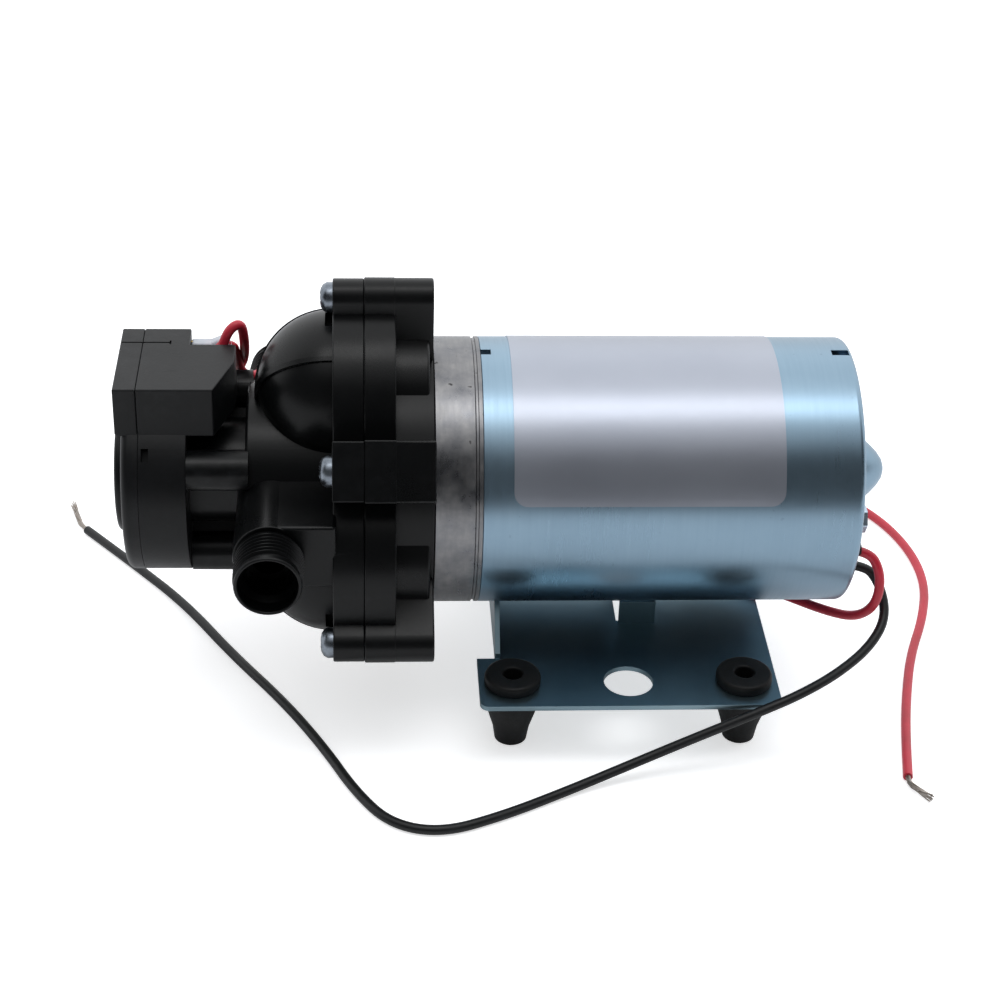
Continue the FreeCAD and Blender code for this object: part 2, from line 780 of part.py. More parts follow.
def make_valves():
    rim_front = "housing_split - diaphragm_thickness"
    sheet_body = join(*recess_parts(rim_front, "housing_split", "seat_gap"))
    holes = [
        rod(f"{rim_front} - 1", "housing_split + 1", "piston_radius + 0.9", "piston_ring", a)
        for a in chamber_angles
    ]
    keep(lift(less(sheet_body, *holes)), "diaphragm")

    plate_front = "housing_split - recess_depth"
    floor = f"{rim_front} - chamber_depth"
    plate = join(*recess_parts(plate_front, rim_front, "seat_gap"))
    cuts = [rod(floor, f"{rim_front} + 1", "chamber_bore", "piston_ring", a) for a in chamber_angles]
    cuts += [rod(f"{plate_front} - 1", f"{floor} + 1", "valve_stem", "piston_ring", a) for a in chamber_angles]
    cuts += [
        rod(f"{plate_front} - 1", f"{floor} + 1", "inlet_hole", f"piston_ring {side} inlet_hole_offset", a)
        for a in chamber_angles
        for side in "+-"
    ]
    cuts += [rod(f"{plate_front} - 1", f"{floor} + 1", "outlet_hole", "outlet_hole_ring", a) for a in chamber_angles]
    cuts.append(rod(f"{plate_front} - 1", rim_front, "valve_stem"))
    keep(lift(less(plate, *cuts)), "valve_plate")

    inlets = [
        join(
            rod(floor, f"{floor} + inlet_valve_thickness", "inlet_valve_radius", "piston_ring", a),
            rod(plate_front, floor, "valve_stem - running_gap", "piston_ring", a),
        )
        for a in chamber_angles
    ]
    keep(lift(group(*inlets)), "inlet_valves")
    outlet = turned("outlet_disc", [
        (f"{plate_front} - 2.2", "0"),
        (f"{plate_front} - 2.2", "4"),
        (f"{plate_front} - 1", "outlet_valve_radius"),
        (plate_front, "outlet_valve_radius"),
        (plate_front, "valve_stem - running_gap"),
        (rim_front, "valve_stem - running_gap"),
        (rim_front, "0"),
    ])
    keep(lift(outlet), "outlet_valve")


def make_head_screws():
    screws = []
    for ring, a in screw_places():
        screws.append(join(
            rod("head_front - screw_head_height + 0.8", "head_front", "screw_head_radius", ring, a),
            rod("head_front - screw_head_height", "head_front", "screw_head_radius - 0.9", ring, a),
            rod("head_front", "flange_front - 3", "head_screw_radius", ring, a),
        ))
    keep(lift(group(*screws)), "head_screws")


def box_outline(grow="0"):
    """The plan of the switch box: its rear wall steps round the terminals."""
    return [
        ("cover_split", f"-box_half + {grow}"),
        (f"box_rear - {grow}", f"-box_half + {grow}"),
        (f"box_tip - {grow}", f"-box_tip_half + {grow} / 2"),
        (f"box_tip - {grow}", f"box_shelf - {grow}"),
        (f"box_back - {grow}", f"box_shelf - {grow}"),
        (f"box_back - {grow}", f"box_half - {grow}"),
        ("cover_split", f"box_half - {grow}"),
    ]


def make_switch():
    rear_wall = "neck_front - switch_rear_wall"
    body = join(
        turned("switch_cup", [
            ("cover_split", "switch_radius - switch_wall"),
            ("cover_split", "switch_radius"),
            ("neck_front", "switch_radius"),
            ("neck_front", "plunger_radius + 0.5"),
            (rear_wall, "plunger_radius + 0.5"),
            (rear_wall, "switch_radius - switch_wall"),
        ]),
        slab("switch_box", "XY_Plane", box_outline(), "box_high - box_low", "box_low"),
    )
    tools = [
        slab("switch_box_hollow", "XY_Plane", box_outline("2"), "box_high - box_low - 4", "box_low + 2"),
        rod("cover_split - 1", rear_wall, "switch_radius - switch_wall"),
        rod("neck_front - diaphragm_seat", "neck_front + 1", "switch_diaphragm_radius + seat_gap"),
    ]
    for side in blade_places():
        tools.append(block("box_back - 3", "box_back + 1", f"{side} - blade_thickness / 2 - seat_gap",
                           f"{side} + blade_thickness / 2 + seat_gap", "blade_low - seat_gap", "blade_high + seat_gap"))
    tools += [rod("cover_split - 1", "neck_front + 1", "1.6", "neck_boss_ring", a) for a in switch_screw_angles]
    keep(lift(less(body, *tools)), "switch_body")

    cover = join(
        rod("cover_front", "cover_split", "switch_radius"),
        rod("switch_boss_front", "cover_front", "switch_boss_radius"),
        block("box_front", "cover_split", "-box_half", "box_half", "box_low", "box_high"),
    )
    inside = "cover_front + switch_wall"
    hollow = [
        rod(inside, "cover_split + 1", "switch_radius - switch_wall"),
        block("box_front + 2", "cover_split + 1", "2 - box_half", "box_half - 2", "box_low + 2", "box_high - 2"),
        rod("switch_boss_front + 2.4", "cover_split + 1", "seat_radius + slide_gap"),
        rod("switch_boss_front - 1", "switch_boss_front + 3", "set_screw_radius + running_gap"),
    ]
    hollow += [rod("cover_front - 1", "cover_split + 1", "1.6", "neck_boss_ring", a) for a in switch_screw_angles]
    keep(lift(less(cover, *hollow)), "switch_cover")

    keep(lift(group(rod("neck_front - diaphragm_seat", "neck_front", "switch_diaphragm_radius"))), "switch_diaphragm")

    plunger_face = "neck_front - diaphragm_seat - slide_gap"
    arm_rear = f"{rear_wall} - switch_travel - 0.4"
    arm_front = f"{arm_rear} - 2"
    plunger = join(
        rod(f"{plunger_face} - 1.2", plunger_face, "plunger_radius"),
        rod(arm_rear, plunger_face, "plunger_radius - 3"),
        arm(arm_front, arm_rear, "2.2", "0", "button_height + 2", 90),
        rod(arm_front, arm_rear, "spring_radius + 0.5"),
        rod(f"{arm_front} - 3", arm_front, "spring_radius - 1.3"),
    )
    keep(lift(plunger), "switch_plunger")

    seat_rear = f"{arm_front} - spring_length"
    spring = less(
        rod(seat_rear, arm_front, "spring_radius"),
        rod(f"{seat_rear} - 1", f"{arm_front} + 1", "spring_radius - 1"),
    )
    keep(lift(spring), "switch_spring")
    seat_front = "switch_boss_front + 3.2"
    seat = join(
        rod(seat_front, seat_rear, "seat_radius"),
        rod(seat_rear, f"{seat_rear} + 1.2", "spring_radius - 1.3"),
    )
    keep(lift(seat), "spring_seat")
    screw = less(
        rod("switch_boss_front - 0.4", seat_front, "set_screw_radius"),
        rod("switch_boss_front - 1", "switch_boss_front + 1.2", "1.1"),
    )
    keep(lift(screw), "pressure_screw")

    button_tip = f"{arm_front} - running_gap"
    case_rear = f"{button_tip} - switch_travel - 0.3"
    case = less(
        block(f"{case_rear} - case_depth", case_rear, "-case_half", "case_half", "case_low", "box_high - 2"),
        rod(f"{case_rear} - 2.6", f"{case_rear} + 1", "1.2 + running_gap", "button_height", 90),
    )
    keep(lift(case), "microswitch")
    keep(lift(group(rod(f"{case_rear} - 1.6", button_tip, "1.2", "button_height", 90))), "switch_button")

    blades = [
        block(case_rear, "blade_end", f"{side} - blade_thickness / 2", f"{side} + blade_thickness / 2",
              "blade_low", "blade_high")
        for side in blade_places()
    ]
    keep(lift(group(*blades)), "switch_terminals")
    boots = [
        less(
            block("boot_front", "boot_end", f"{side} - boot_half", f"{side} + boot_half",
                  "blade_low - boot_margin", "blade_high + boot_margin"),
            block("box_back", "blade_end + seat_gap", f"{side} - blade_thickness / 2 - running_gap",
                  f"{side} + blade_thickness / 2 + running_gap", "blade_low - running_gap", "blade_high + running_gap"),
            wire_bore(side),
        )
        for side in blade_places()
    ]
    keep(lift(group(*boots)), "terminal_boots")

    screws = [
        join(
            rod("cover_front - 2.2", "cover_front", "3", "neck_boss_ring", a),
            rod("cover_front", "neck_front + 8", "1.5", "neck_boss_ring", a),
        )
        for a in switch_screw_angles
    ]
    keep(lift(group(*screws)), "switch_screws")


def wire_bore(side):
    """The hole in one boot that its wire is gripped in."""
    item = rod("blade_end", "boot_end + 1", "wire_radius")
    bind(item, "Placement.Base.y", side)
    bind(item, "Placement.Base.z", "(blade_low + blade_high) / 2")
    return item


def blade_places():
    return ("blade_centre - blade_pitch / 2", "blade_centre + blade_pitch / 2")


def make_base_plate():
    low = "plate_top - plate_thickness"
    sheet_metal = slab("plate_sheet", "XY_Plane", [
        ("-plate_half_length", "-plate_half_width"),
        ("plate_half_length", "-plate_half_width"),
        ("plate_half_length", "plate_half_width"),
        ("-plate_half_length", "plate_half_width"),
        ("-plate_half_length", "notch_half"),
        ("plate_notch - plate_half_length", "notch_half"),
        ("plate_notch - plate_half_length", "-notch_half"),
        ("-plate_half_length", "-notch_half"),
    ], "plate_thickness", low)

    def outer_corner(edge):
        ends = [vertex.Point for vertex in edge.Vertexes]
        upright = abs(ends[0].z - ends[1].z) > 0.1
        return upright and abs(abs(ends[0].y) - sizes["plate_half_width"]) < 0.01

    soften(sheet_metal, "plate_corner", outer_corner)
    web = slab("saddle_web", "YZ_Plane", [
        ("-notch_half", low),
        ("notch_half", low),
        ("notch_half", "plate_top + plate_thickness"),
        ("saddle_half", "axis_height - saddle_drop"),
        ("-saddle_half", "axis_height - saddle_drop"),
        ("-notch_half", "plate_top + plate_thickness"),
    ], "plate_thickness", "plate_notch - plate_half_length")
    saddle = less(web, raised_rod("plate_notch - plate_half_length - 1", "plate_notch", "can_radius"))
    tabs = [
        less(
            block("0", "tab_length", f"{side} * tab_offset - plate_thickness / 2",
                      f"{side} * tab_offset + plate_thickness / 2", low, "axis_height - saddle_drop"),
            raised_rod("-1", "tab_length + 1", "can_radius"),
        )
        for side in (-1, 1)
    ]
    holes = [post("0", f"{side} * foot_spacing_y / 2", f"{low} - 1", "plate_top + 1", "plate_hole") for side in (-1, 1)]
    holes += [post(x, y, f"{low} - 1", "plate_top + 1", "foot_neck + seat_gap") for x, y in foot_places().values()]
    keep(less(join(sheet_metal, saddle, *tabs), *holes), "base_plate")


def raised_rod(x0, x1, radius):
    item = rod(x0, x1, radius)
    bind(item, "Placement.Base.z", "axis_height")
    return item


def foot_places():
    return {
        f"foot_{end}_{side}": (f"{along} * foot_spacing_x / 2", f"{across} * foot_spacing_y / 2")
        for end, along in (("head", -1), ("motor", 1))
        for side, across in (("near", -1), ("far", 1))
    }


def make_feet():
    low = "plate_top - plate_thickness"
    for name, (x, y) in foot_places().items():
        foot = turned(name + "_form", [
            ("foot_bore", "0"),
            ("foot_tip", "0"),
            ("foot_tip + 0.5", "1"),
            ("foot_shoulder - 0.8", f"{low} - 2.4"),
            ("foot_shoulder", f"{low} - 1.6"),
            ("foot_shoulder", low),
            ("foot_neck", low),
            ("foot_neck", "plate_top"),
            ("foot_flange", "plate_top"),
            ("foot_flange", "plate_top + foot_crown - 0.7"),
            ("foot_flange - 0.7", "plate_top + foot_crown"),
            ("foot_bore", "plate_top + foot_crown"),
        ], upright=True)
        bind(foot, "Placement.Base.x", x)
        bind(foot, "Placement.Base.y", y)
        keep(foot, name)


def make_label():
    patch = sector("label_front", "label_rear", "can_radius + label_gap", "can_radius + label_gap + label_thickness",
                   sizes["label_low"] + sizes["label_span"] / 2, "label_span")
    keep(lift(patch), "rating_label")


def tube(points, radius):
    """A round tube on straight runs joined by tangent arcs, as large as their runs allow."""
    spots = [FreeCAD.Vector(*p) for p in points]
    disc = Part.Face(Part.Wire(Part.makeCircle(radius, spots[0], spots[1] - spots[0])))
    skin, bends, start, length = [disc], [], spots[0], 0.0
    for before, corner, after in zip(spots, spots[1:], spots[2:]):
        into, out = corner - before, after - corner
        shorter = 0.45 * min(into.Length, out.Length)
        turn = into.getAngle(out)
        bends.append(shorter / math.tan(turn / 2))
        arc_start = corner - into * (shorter / into.Length)
        arc_end = corner + out * (shorter / out.Length)
        inward = (arc_start + arc_end) * 0.5 - corner
        centre = corner + inward * (bends[-1] / math.cos(turn / 2) / inward.Length)
        length += (arc_start - start).Length + bends[-1] * turn
        skin += round_faces(disc.extrude(arc_start - start))
        disc = disc.translated(arc_start - start)
        skin += round_faces(disc.revolve(centre, into.cross(out), math.degrees(turn)))
        disc = disc.rotated(centre, into.cross(out), math.degrees(turn))
        start = arc_end
    skin += round_faces(disc.extrude(spots[-1] - start))
    skin.append(disc.translated(spots[-1] - start))
    length += (spots[-1] - start).Length
    shell = Part.makeCompound(skin)
    shell.sewShape()
    solid = Part.makeSolid(shell.Shells[0])
    if solid.Volume < 0:
        solid.reverse()
    return solid, length, bends, solid.Volume / (math.pi * radius ** 2 * length)


def round_faces(solid):
    return [face for face in solid.Faces if not isinstance(face.Surface, Part.Plane)]


def lead(name, points, radius):
    solid, length, bends, ratio = tube(points, radius)
    item = document.addObject("Part::Feature", name + "_solid")
    item.Shape = solid
    keep(item, name)
    print(f"{name}: length {length:.1f} mm, volume ratio {ratio:.4f}, radii", [round(r, 1) for r in bends])


def exit_point(side, out=0.0):
    """The centre of one wire where it starts inside the end cap, or a little way out along the axis."""
    angle = math.radians(sizes["grommet_angle"] + side * sizes["wire_exit_angle"])
    return (
        sizes["can_rear"] - sizes["cap_inset"] - sizes["cap_thickness"] - 1.6 + out,
        -sizes["grommet_ring"] * math.cos(angle),
        sizes["axis_height"] + sizes["grommet_ring"] * math.sin(angle),
    )


def boot_point(side, out=0.0):
    """The centre of one wire where its boot grips it, or a little way out of the boot."""
    return (
        sizes["boot_end"] - sizes["boot_grip"] + out,
        sizes["blade_centre"] + side * sizes["blade_pitch"] / 2,
        sizes["axis_height"] + (sizes["blade_low"] + sizes["blade_high"]) / 2,
    )


black_route = [
    (75.5, -22.0, 38.5), (76.5, -29.5, 31.5), (69.5, -38.0, 27.0), (59.0, -46.5, 24.0),
    (47.5, -53.5, 22.0), (36.0, -57.2, 19.0), (23.0, -58.8, 13.8), (9.0, -60.5, 8.0), (-5.0, -64.0, 3.6),
    (-20.0, -70.5, 1.4), (-37.0, -80.0, 1.4), (-54.0, -87.0, 1.4), (-68.0, -83.0, 1.4), (-77.5, -69.0, 1.4),
    (-86.0, -50.0, 1.4), (-98.0, -28.0, 1.4), (-114.5, -3.5, 1.4), (-130.0, 23.0, 1.4), (-148.0, 46.0, 1.4),
    (-164.5, 66.0, 1.4),
]
black_strands = [(-164.5, 66.0, 1.4), (-166.7, 68.7, 1.4), (-168.6, 74.5, 1.4), (-170.5, 82.0, 1.4)]
red_route = [
    (-113.0, 12.0, 102.0), (-107.7, 13.6, 102.8), (-107.4, 16.5, 95.5), (-109.0, 24.0, 87.0),
    (-111.5, 35.0, 78.5), (-114.0, 46.0, 67.0), (-114.0, 54.0, 52.0), (-109.0, 60.0, 36.0), (-101.0, 65.0, 20.0),
    (-87.0, 69.5, 7.5), (-68.0, 73.0, 1.4), (-42.0, 76.0, 1.4), (-14.0, 77.0, 1.4), (14.0, 80.0, 1.4),
    (42.0, 85.5, 1.4), (66.0, 92.0, 1.4), (85.0, 87.5, 1.4), (97.0, 72.0, 1.4), (103.5, 53.0, 1.4),
    (104.5, 33.0, 1.4), (99.5, 13.5, 1.4), (91.5, -6.0, 1.4), (86.0, -26.0, 1.4), (81.5, -46.0, 1.4),
    (78.2, -65.0, 1.4),
]
red_strands = [(78.2, -65.0, 1.4), (77.9, -67.0, 1.4), (79.4, -70.6, 1.4), (83.0, -74.5, 1.4)]
jumper_route = [
    (74.5, -29.0, 46.5), (74.0, -30.5, 38.0), (68.5, -25.5, 30.5), (61.0, -15.0, 24.2), (50.0, -3.5, 22.3),
    (34.0, 9.5, 21.3), (14.0, 18.5, 21.3), (-8.0, 23.5, 21.5), (-28.0, 28.5, 22.0), (-43.0, 39.0, 26.5),
    (-52.0, 54.0, 30.5), (-61.0, 62.0, 37.5), (-71.0, 67.0, 47.5), (-81.0, 68.0, 59.0), (-88.0, 63.5, 70.0),
    (-94.5, 54.0, 78.3), (-100.5, 42.5, 79.3), (-106.0, 32.0, 76.5), (-111.0, 26.0, 81.0), (-113.2, 20.5, 89.5),
]


def make_leads():
    wire = sizes["wire_radius"]
    lead("black_lead", [exit_point(-1), exit_point(-1, 12.0)] + black_route, wire)
    lead("black_lead_strands", black_strands, 0.7 * wire)
    lead("red_lead", [boot_point(-1), boot_point(-1, 7.4)] + red_route, wire)
    lead("red_lead_strands", red_strands, 0.7 * wire)
    lead("jumper_lead", [
        exit_point(1), exit_point(1, 11.5), *jumper_route, boot_point(1, 7.4), boot_point(1),
    ], wire)


make_can()
make_end_cap()
make_bolts()
make_grommet()
make_motor_inside()
make_brushes()
make_drive_flange()
make_lower_housing()
make_flange_screws()
make_drive()
make_valves()
make_upper_housing()
make_ports()
make_head_screws()
make_switch()
make_base_plate()
make_feet()
make_label()
document.recompute()
make_leads()
document.recompute()

faults = [item.Name for item in document.Objects if {"Invalid", "Error"} & set(item.State)]
faults += [item.Label for item in nodes if item.Shape.isNull() or not item.Shape.isValid() or not item.Shape.Solids]
if faults:
    raise SystemExit(f"These did not build: {faults}")

os.makedirs("parts", exist_ok=True)
for item in nodes:
    item.Shape.exportStep(f"parts/{item.Label}.step")
    print(item.Label, len(item.Shape.Solids), round(item.Shape.Volume))
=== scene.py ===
import json
import math
import bmesh
import bpy
from mathutils import Matrix, Vector


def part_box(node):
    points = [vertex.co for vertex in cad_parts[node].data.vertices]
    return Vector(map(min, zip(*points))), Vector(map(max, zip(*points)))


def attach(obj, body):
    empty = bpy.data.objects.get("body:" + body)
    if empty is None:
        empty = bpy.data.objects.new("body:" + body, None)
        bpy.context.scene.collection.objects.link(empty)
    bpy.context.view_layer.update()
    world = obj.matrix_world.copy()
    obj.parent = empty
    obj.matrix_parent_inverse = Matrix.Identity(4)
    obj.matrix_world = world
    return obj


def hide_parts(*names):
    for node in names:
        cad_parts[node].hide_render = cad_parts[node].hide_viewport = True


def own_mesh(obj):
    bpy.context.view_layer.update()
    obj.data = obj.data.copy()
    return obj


# Looks of the delivery pump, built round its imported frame. The scene is in metres and the
# dictionaries are in millimetres: X runs along the pump axis towards the motor's rear, Z is up
# and the ports lie along Y. A ring and an angle place things round the axis, from -Y towards +Z.
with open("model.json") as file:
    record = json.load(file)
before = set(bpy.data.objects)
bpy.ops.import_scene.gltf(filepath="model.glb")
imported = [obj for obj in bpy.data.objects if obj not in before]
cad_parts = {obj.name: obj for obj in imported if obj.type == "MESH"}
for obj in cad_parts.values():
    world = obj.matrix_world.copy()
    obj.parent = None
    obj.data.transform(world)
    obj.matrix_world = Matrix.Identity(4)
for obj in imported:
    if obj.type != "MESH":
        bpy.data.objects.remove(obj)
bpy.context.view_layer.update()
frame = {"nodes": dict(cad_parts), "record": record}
scene = bpy.context.scene
mm = 0.001
canLow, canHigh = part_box("motor_can")
axisHeight = (canLow.z + canHigh.z) / 2
chamberAngles = (90, 210, 330)
valleyAngles = (30, 150, 270)
print("frame loaded, pump axis at", round(axisHeight, 4))


# Camera, fitted to the photograph's can, plate and feet: angles in degrees, its reach in metres
view = {"yaw": 4.198, "pitch": -31.617, "roll": 2.098, "place": (-75.973, -554.419, 396.239),
        "lens": 80.65, "sensor": 36.0, "shift": -0.002, "reach": (0.01, 30)}


def addCamera():
    yaw, pitch, roll = (math.radians(view[k]) for k in ("yaw", "pitch", "roll"))
    ahead = Vector((math.sin(yaw) * math.cos(pitch), math.cos(yaw) * math.cos(pitch), math.sin(pitch)))
    level = Vector((math.cos(yaw), -math.sin(yaw), 0))
    upright = level.cross(ahead)
    right = math.cos(roll) * level + math.sin(roll) * upright
    up = -math.sin(roll) * level + math.cos(roll) * upright
    data = bpy.data.cameras.new("camera")
    data.lens, data.sensor_width, data.sensor_fit = view["lens"], view["sensor"], "HORIZONTAL"
    data.shift_y = view["shift"]
    data.clip_start, data.clip_end = view["reach"]
    camera = bpy.data.objects.new("camera", data)
    turn = Matrix((right, up, -ahead)).transposed().to_4x4()
    camera.matrix_world = Matrix.Translation(Vector(view["place"]) * mm) @ turn
    scene.collection.objects.link(camera)
    scene.camera = camera


addCamera()
print("camera placed")


# Finishes: small calls that add nodes to one material
def paint(red, green, blue):
    # a screen colour from 0 to 255 as the shader's linear colour
    def straight(v):
        v /= 255
        return v / 12.92 if v <= 0.04045 else ((v + 0.055) / 1.055) ** 2.4
    return (straight(red), straight(green), straight(blue), 1.0)


def addNode(material, kind, inputs=None, **settings):
    node = material.node_tree.nodes.new(kind)
    for key, value in settings.items():
        setattr(node, key, value)
    for key, value in (inputs or {}).items():
        if isinstance(value, bpy.types.NodeSocket):
            material.node_tree.links.new(value, node.inputs[key])
        else:
            node.inputs[key].default_value = value
    return node


def objectPlace(material, stretch=(1, 1, 1), turn=(0, 0, 0)):
    place = addNode(material, "ShaderNodeTexCoord").outputs["Object"]
    inputs = {"Vector": place, "Scale": stretch, "Rotation": turn}
    return addNode(material, "ShaderNodeMapping", inputs).outputs["Vector"]


def noise(material, scale, detail, stretch=(1, 1, 1), turn=(0, 0, 0)):
    inputs = {"Vector": objectPlace(material, stretch, turn), "Scale": scale, "Detail": detail,
              "Roughness": 0.55}
    return addNode(material, "ShaderNodeTexNoise", inputs).outputs["Fac"]


def spread(material, value, low, high, least=0.0, most=1.0):
    inputs = {"Value": value, "From Min": low, "From Max": high, "To Min": least, "To Max": most}
    return addNode(material, "ShaderNodeMapRange", inputs, clamp=True).outputs["Result"]


def reckon(material, operation, first, second):
    return addNode(material, "ShaderNodeMath", {0: first, 1: second}, operation=operation).outputs["Value"]


def mixed(material, value, first, second):
    inputs = {0: value, 6: first, 7: second}
    return addNode(material, "ShaderNodeMix", inputs, data_type="RGBA").outputs[2]


def wire(material, source, socket):
    material.node_tree.links.new(source, material.node_tree.nodes["Principled BSDF"].inputs[socket])


def addBump(material, height, distance):
    inputs = {"Height": height, "Distance": distance * mm, "Strength": 1.0}
    wire(material, addNode(material, "ShaderNodeBump", inputs).outputs["Normal"], "Normal")


# Each finish has the light and the dark colour of its patches, its least and most roughness, the
# noise scales of its patches and grain, and the bump in mm. Then stretch is how the grain is drawn
# out, and spots, the edge highlight and scuff are how strong its pits, its pale painted highlight on
# sharp edges and its dull scratches are.
# metal, specular and clear go to the shader as they are
finishTable = {
    "zinc_can": ((149, 173, 190), (130, 154, 172), (0.25, 0.37), 20, 1.0, 0.006,
                 {"metal": 1.0, "stretch": (1500, 40, 40), "spots": 0.15}),
    "zinc_bolt": ((196, 212, 226), (166, 186, 202), (0.22, 0.4), 150, 900, 0.01,
                  {"metal": 1.0, "spots": 0.3}),
    "black_rubber": ((20, 21, 23), (12, 13, 14), (0.5, 0.7), 120, 1600, 0.02, {"specular": 0.35}),
    "ferrite": ((62, 62, 65), (40, 40, 43), (0.6, 0.8), 90, 1200, 0.03, {}),
    "bronze": ((196, 150, 92), (150, 108, 62), (0.35, 0.5), 110, 1500, 0.02, {"metal": 1.0}),
    "bearing_steel": ((205, 207, 211), (176, 178, 183), (0.14, 0.26), 90, 1.0, 0.004,
                      {"metal": 1.0, "stretch": (2200, 60, 60)}),
    "lamination": ((150, 150, 154), (104, 105, 110), (0.35, 0.5), 100, 1.0, 0.03,
                   {"metal": 1.0, "stretch": (2000, 30, 30)}),
    "copper": ((214, 128, 84), (170, 88, 52), (0.25, 0.42), 160, 1.0, 0.03,
               {"metal": 1.0, "stretch": (60, 1300, 1300)}),
    "phenolic": ((120, 74, 46), (92, 54, 34), (0.45, 0.6), 80, 700, 0.02, {}),
    "carbon": ((48, 48, 50), (30, 30, 32), (0.5, 0.65), 200, 2000, 0.015, {"metal": 0.3}),
    "spring_steel": ((170, 168, 160), (128, 126, 120), (0.25, 0.4), 200, 1500, 0.01, {"metal": 1.0}),
    "cast_metal": ((149, 148, 148), (112, 113, 117), (0.24, 0.42), 210, 1.0, 0.02,
                   {"metal": 1.0, "stretch": (900, 110, 110), "spots": 0.7}),
    # black_plastic and switch_plastic carry a painted highlight: pale sharp edges that stand in for light
    # caught by their rims
    "black_plastic": ((10, 11, 12), (7, 8, 9), (0.26, 0.36), 50, 1400, 0.01,
                      {"edgeHighlight": 0.06, "scuff": 0.1, "specular": 0.24}),
    "black_plastic_inner": ((34, 35, 36), (22, 23, 24), (0.45, 0.6), 60, 1200, 0.015, {}),
    "switch_plastic": ((15, 16, 18), (11, 12, 13), (0.36, 0.44), 45, 1100, 0.02,
                       {"edgeHighlight": 0.06, "scuff": 0.08, "specular": 0.24}),
    "steel_screw": ((152, 160, 170), (102, 108, 116), (0.2, 0.42), 260, 1200, 0.012,
                    {"metal": 1.0, "spots": 0.4}),
    "valve_rubber": ((36, 34, 34), (24, 23, 23), (0.55, 0.7), 100, 1500, 0.015, {}),
    "white_plastic": ((228, 228, 224), (214, 214, 208), (0.4, 0.5), 60, 1200, 0.01, {}),
    "brass": ((214, 184, 110), (180, 146, 80), (0.22, 0.36), 130, 1500, 0.008, {"metal": 1.0}),
    "boot_plastic": ((236, 240, 246), (214, 220, 230), (0.28, 0.4), 180, 1300, 0.012, {"clear": 0.25}),
    "plated_sheet": ((140, 162, 171), (120, 143, 153), (0.27, 0.33), 24, 60, 0.0004, {"metal": 1.0}),
    "foot_rubber": ((13, 14, 15), (8, 9, 10), (0.46, 0.64), 140, 1500, 0.03, {"specular": 0.28}),
    "label_film": ((178, 183, 194), (166, 171, 183), (0.3, 0.37), 18, 500, 0.008, {"metal": 0.78}),
    "black_wire": ((19, 21, 23), (12, 13, 14), (0.36, 0.5), 150, 1500, 0.012, {"specular": 0.4}),
    "red_wire": ((212, 48, 70), (188, 30, 50), (0.34, 0.46), 110, 1500, 0.01, {}),
    "bare_copper": ((196, 190, 184), (140, 128, 118), (0.28, 0.42), 400, 2500, 0.01, {"metal": 1.0}),
}

# the edge noise scale and pale edge tint below set the painted highlight on sharp rims
marks = {"streak": 0.35, "spotScale": 420, "spotShade": 0.45, "spotDull": 0.4, "edgeHighlightScale": 300,
         "edgeHighlightTint": (92, 94, 98), "scuffScale": 60, "scuffStretch": (1, 7, 1),
         "scuffTurn": (0.3, 0.5, 0.7)}


def makeFinish(name, light, dark, roughness, patchScale, grainScale, depth, more):
    material = bpy.data.materials.new(name)
    material.use_nodes = True
    shader = material.node_tree.nodes["Principled BSDF"]
    shader.inputs["Metallic"].default_value = more.get("metal", 0.0)
    shader.inputs["Specular IOR Level"].default_value = more.get("specular", 0.5)
    shader.inputs["Transmission Weight"].default_value = more.get("clear", 0.0)
    patches = spread(material, noise(material, patchScale, 5), 0.3, 0.7)
    grain = noise(material, grainScale, 4, more.get("stretch", (1, 1, 1)))
    colour = mixed(material, patches, paint(*dark), paint(*light))
    if "stretch" in more:
        streaks = spread(material, grain, 0.3, 0.75, 0.0, marks["streak"])
        colour = mixed(material, streaks, colour, paint(*dark))
    rough = spread(material, reckon(material, "ADD", grain, patches), 0.4, 1.5, *roughness)
    if "spots" in more:
        pits = spread(material, noise(material, marks["spotScale"], 2), 0.70, 0.76, 0.0, more["spots"])
        colour = mixed(material, pits, colour, paint(*(marks["spotShade"] * c for c in dark)))
        rough = reckon(material, "ADD", rough, reckon(material, "MULTIPLY", pits, marks["spotDull"]))
    # painted highlight: sharp edges, found by pointiness, turn pale in patches to stand in for light caught
    # by the rims
    if "edgeHighlight" in more:
        edge = addNode(material, "ShaderNodeNewGeometry").outputs["Pointiness"]
        paintedEdgeHighlight = reckon(material, "MULTIPLY", spread(material, edge, 0.52, 0.6, 0.0, more["edgeHighlight"]),
                        spread(material, noise(material, marks["edgeHighlightScale"], 4), 0.4, 0.7))
        colour = mixed(material, paintedEdgeHighlight, colour, paint(*marks["edgeHighlightTint"]))
        scratches = noise(material, marks["scuffScale"], 6, marks["scuffStretch"], marks["scuffTurn"])
        rough = reckon(material, "ADD", rough, spread(material, scratches, 0.66, 0.74, 0.0, more["scuff"]))
    wire(material, colour, "Base Color")
    wire(material, rough, "Roughness")
    addBump(material, grain, depth)
    return material


finishes = {name: makeFinish(name, *row) for name, row in finishTable.items()}
for subpart in frame["record"]["subparts"]:
    node = frame["nodes"][subpart["node"]]
    node.data.materials.clear()
    node.data.materials.append(finishes[subpart["material_slot"]])
print(len(finishes), "finishes made")


# Cords
strand = {"count": 9, "width": 0.4, "twist": 1.1, "reach": 0.62, "fray": 0.16}


def newCurve(name, width, roundness):
    curve = bpy.data.curves.new(name, "CURVE")
    curve.dimensions = "3D"
    curve.bevel_depth = width / 2 * mm
    curve.bevel_resolution = roundness
    curve.use_fill_caps = True
    return curve


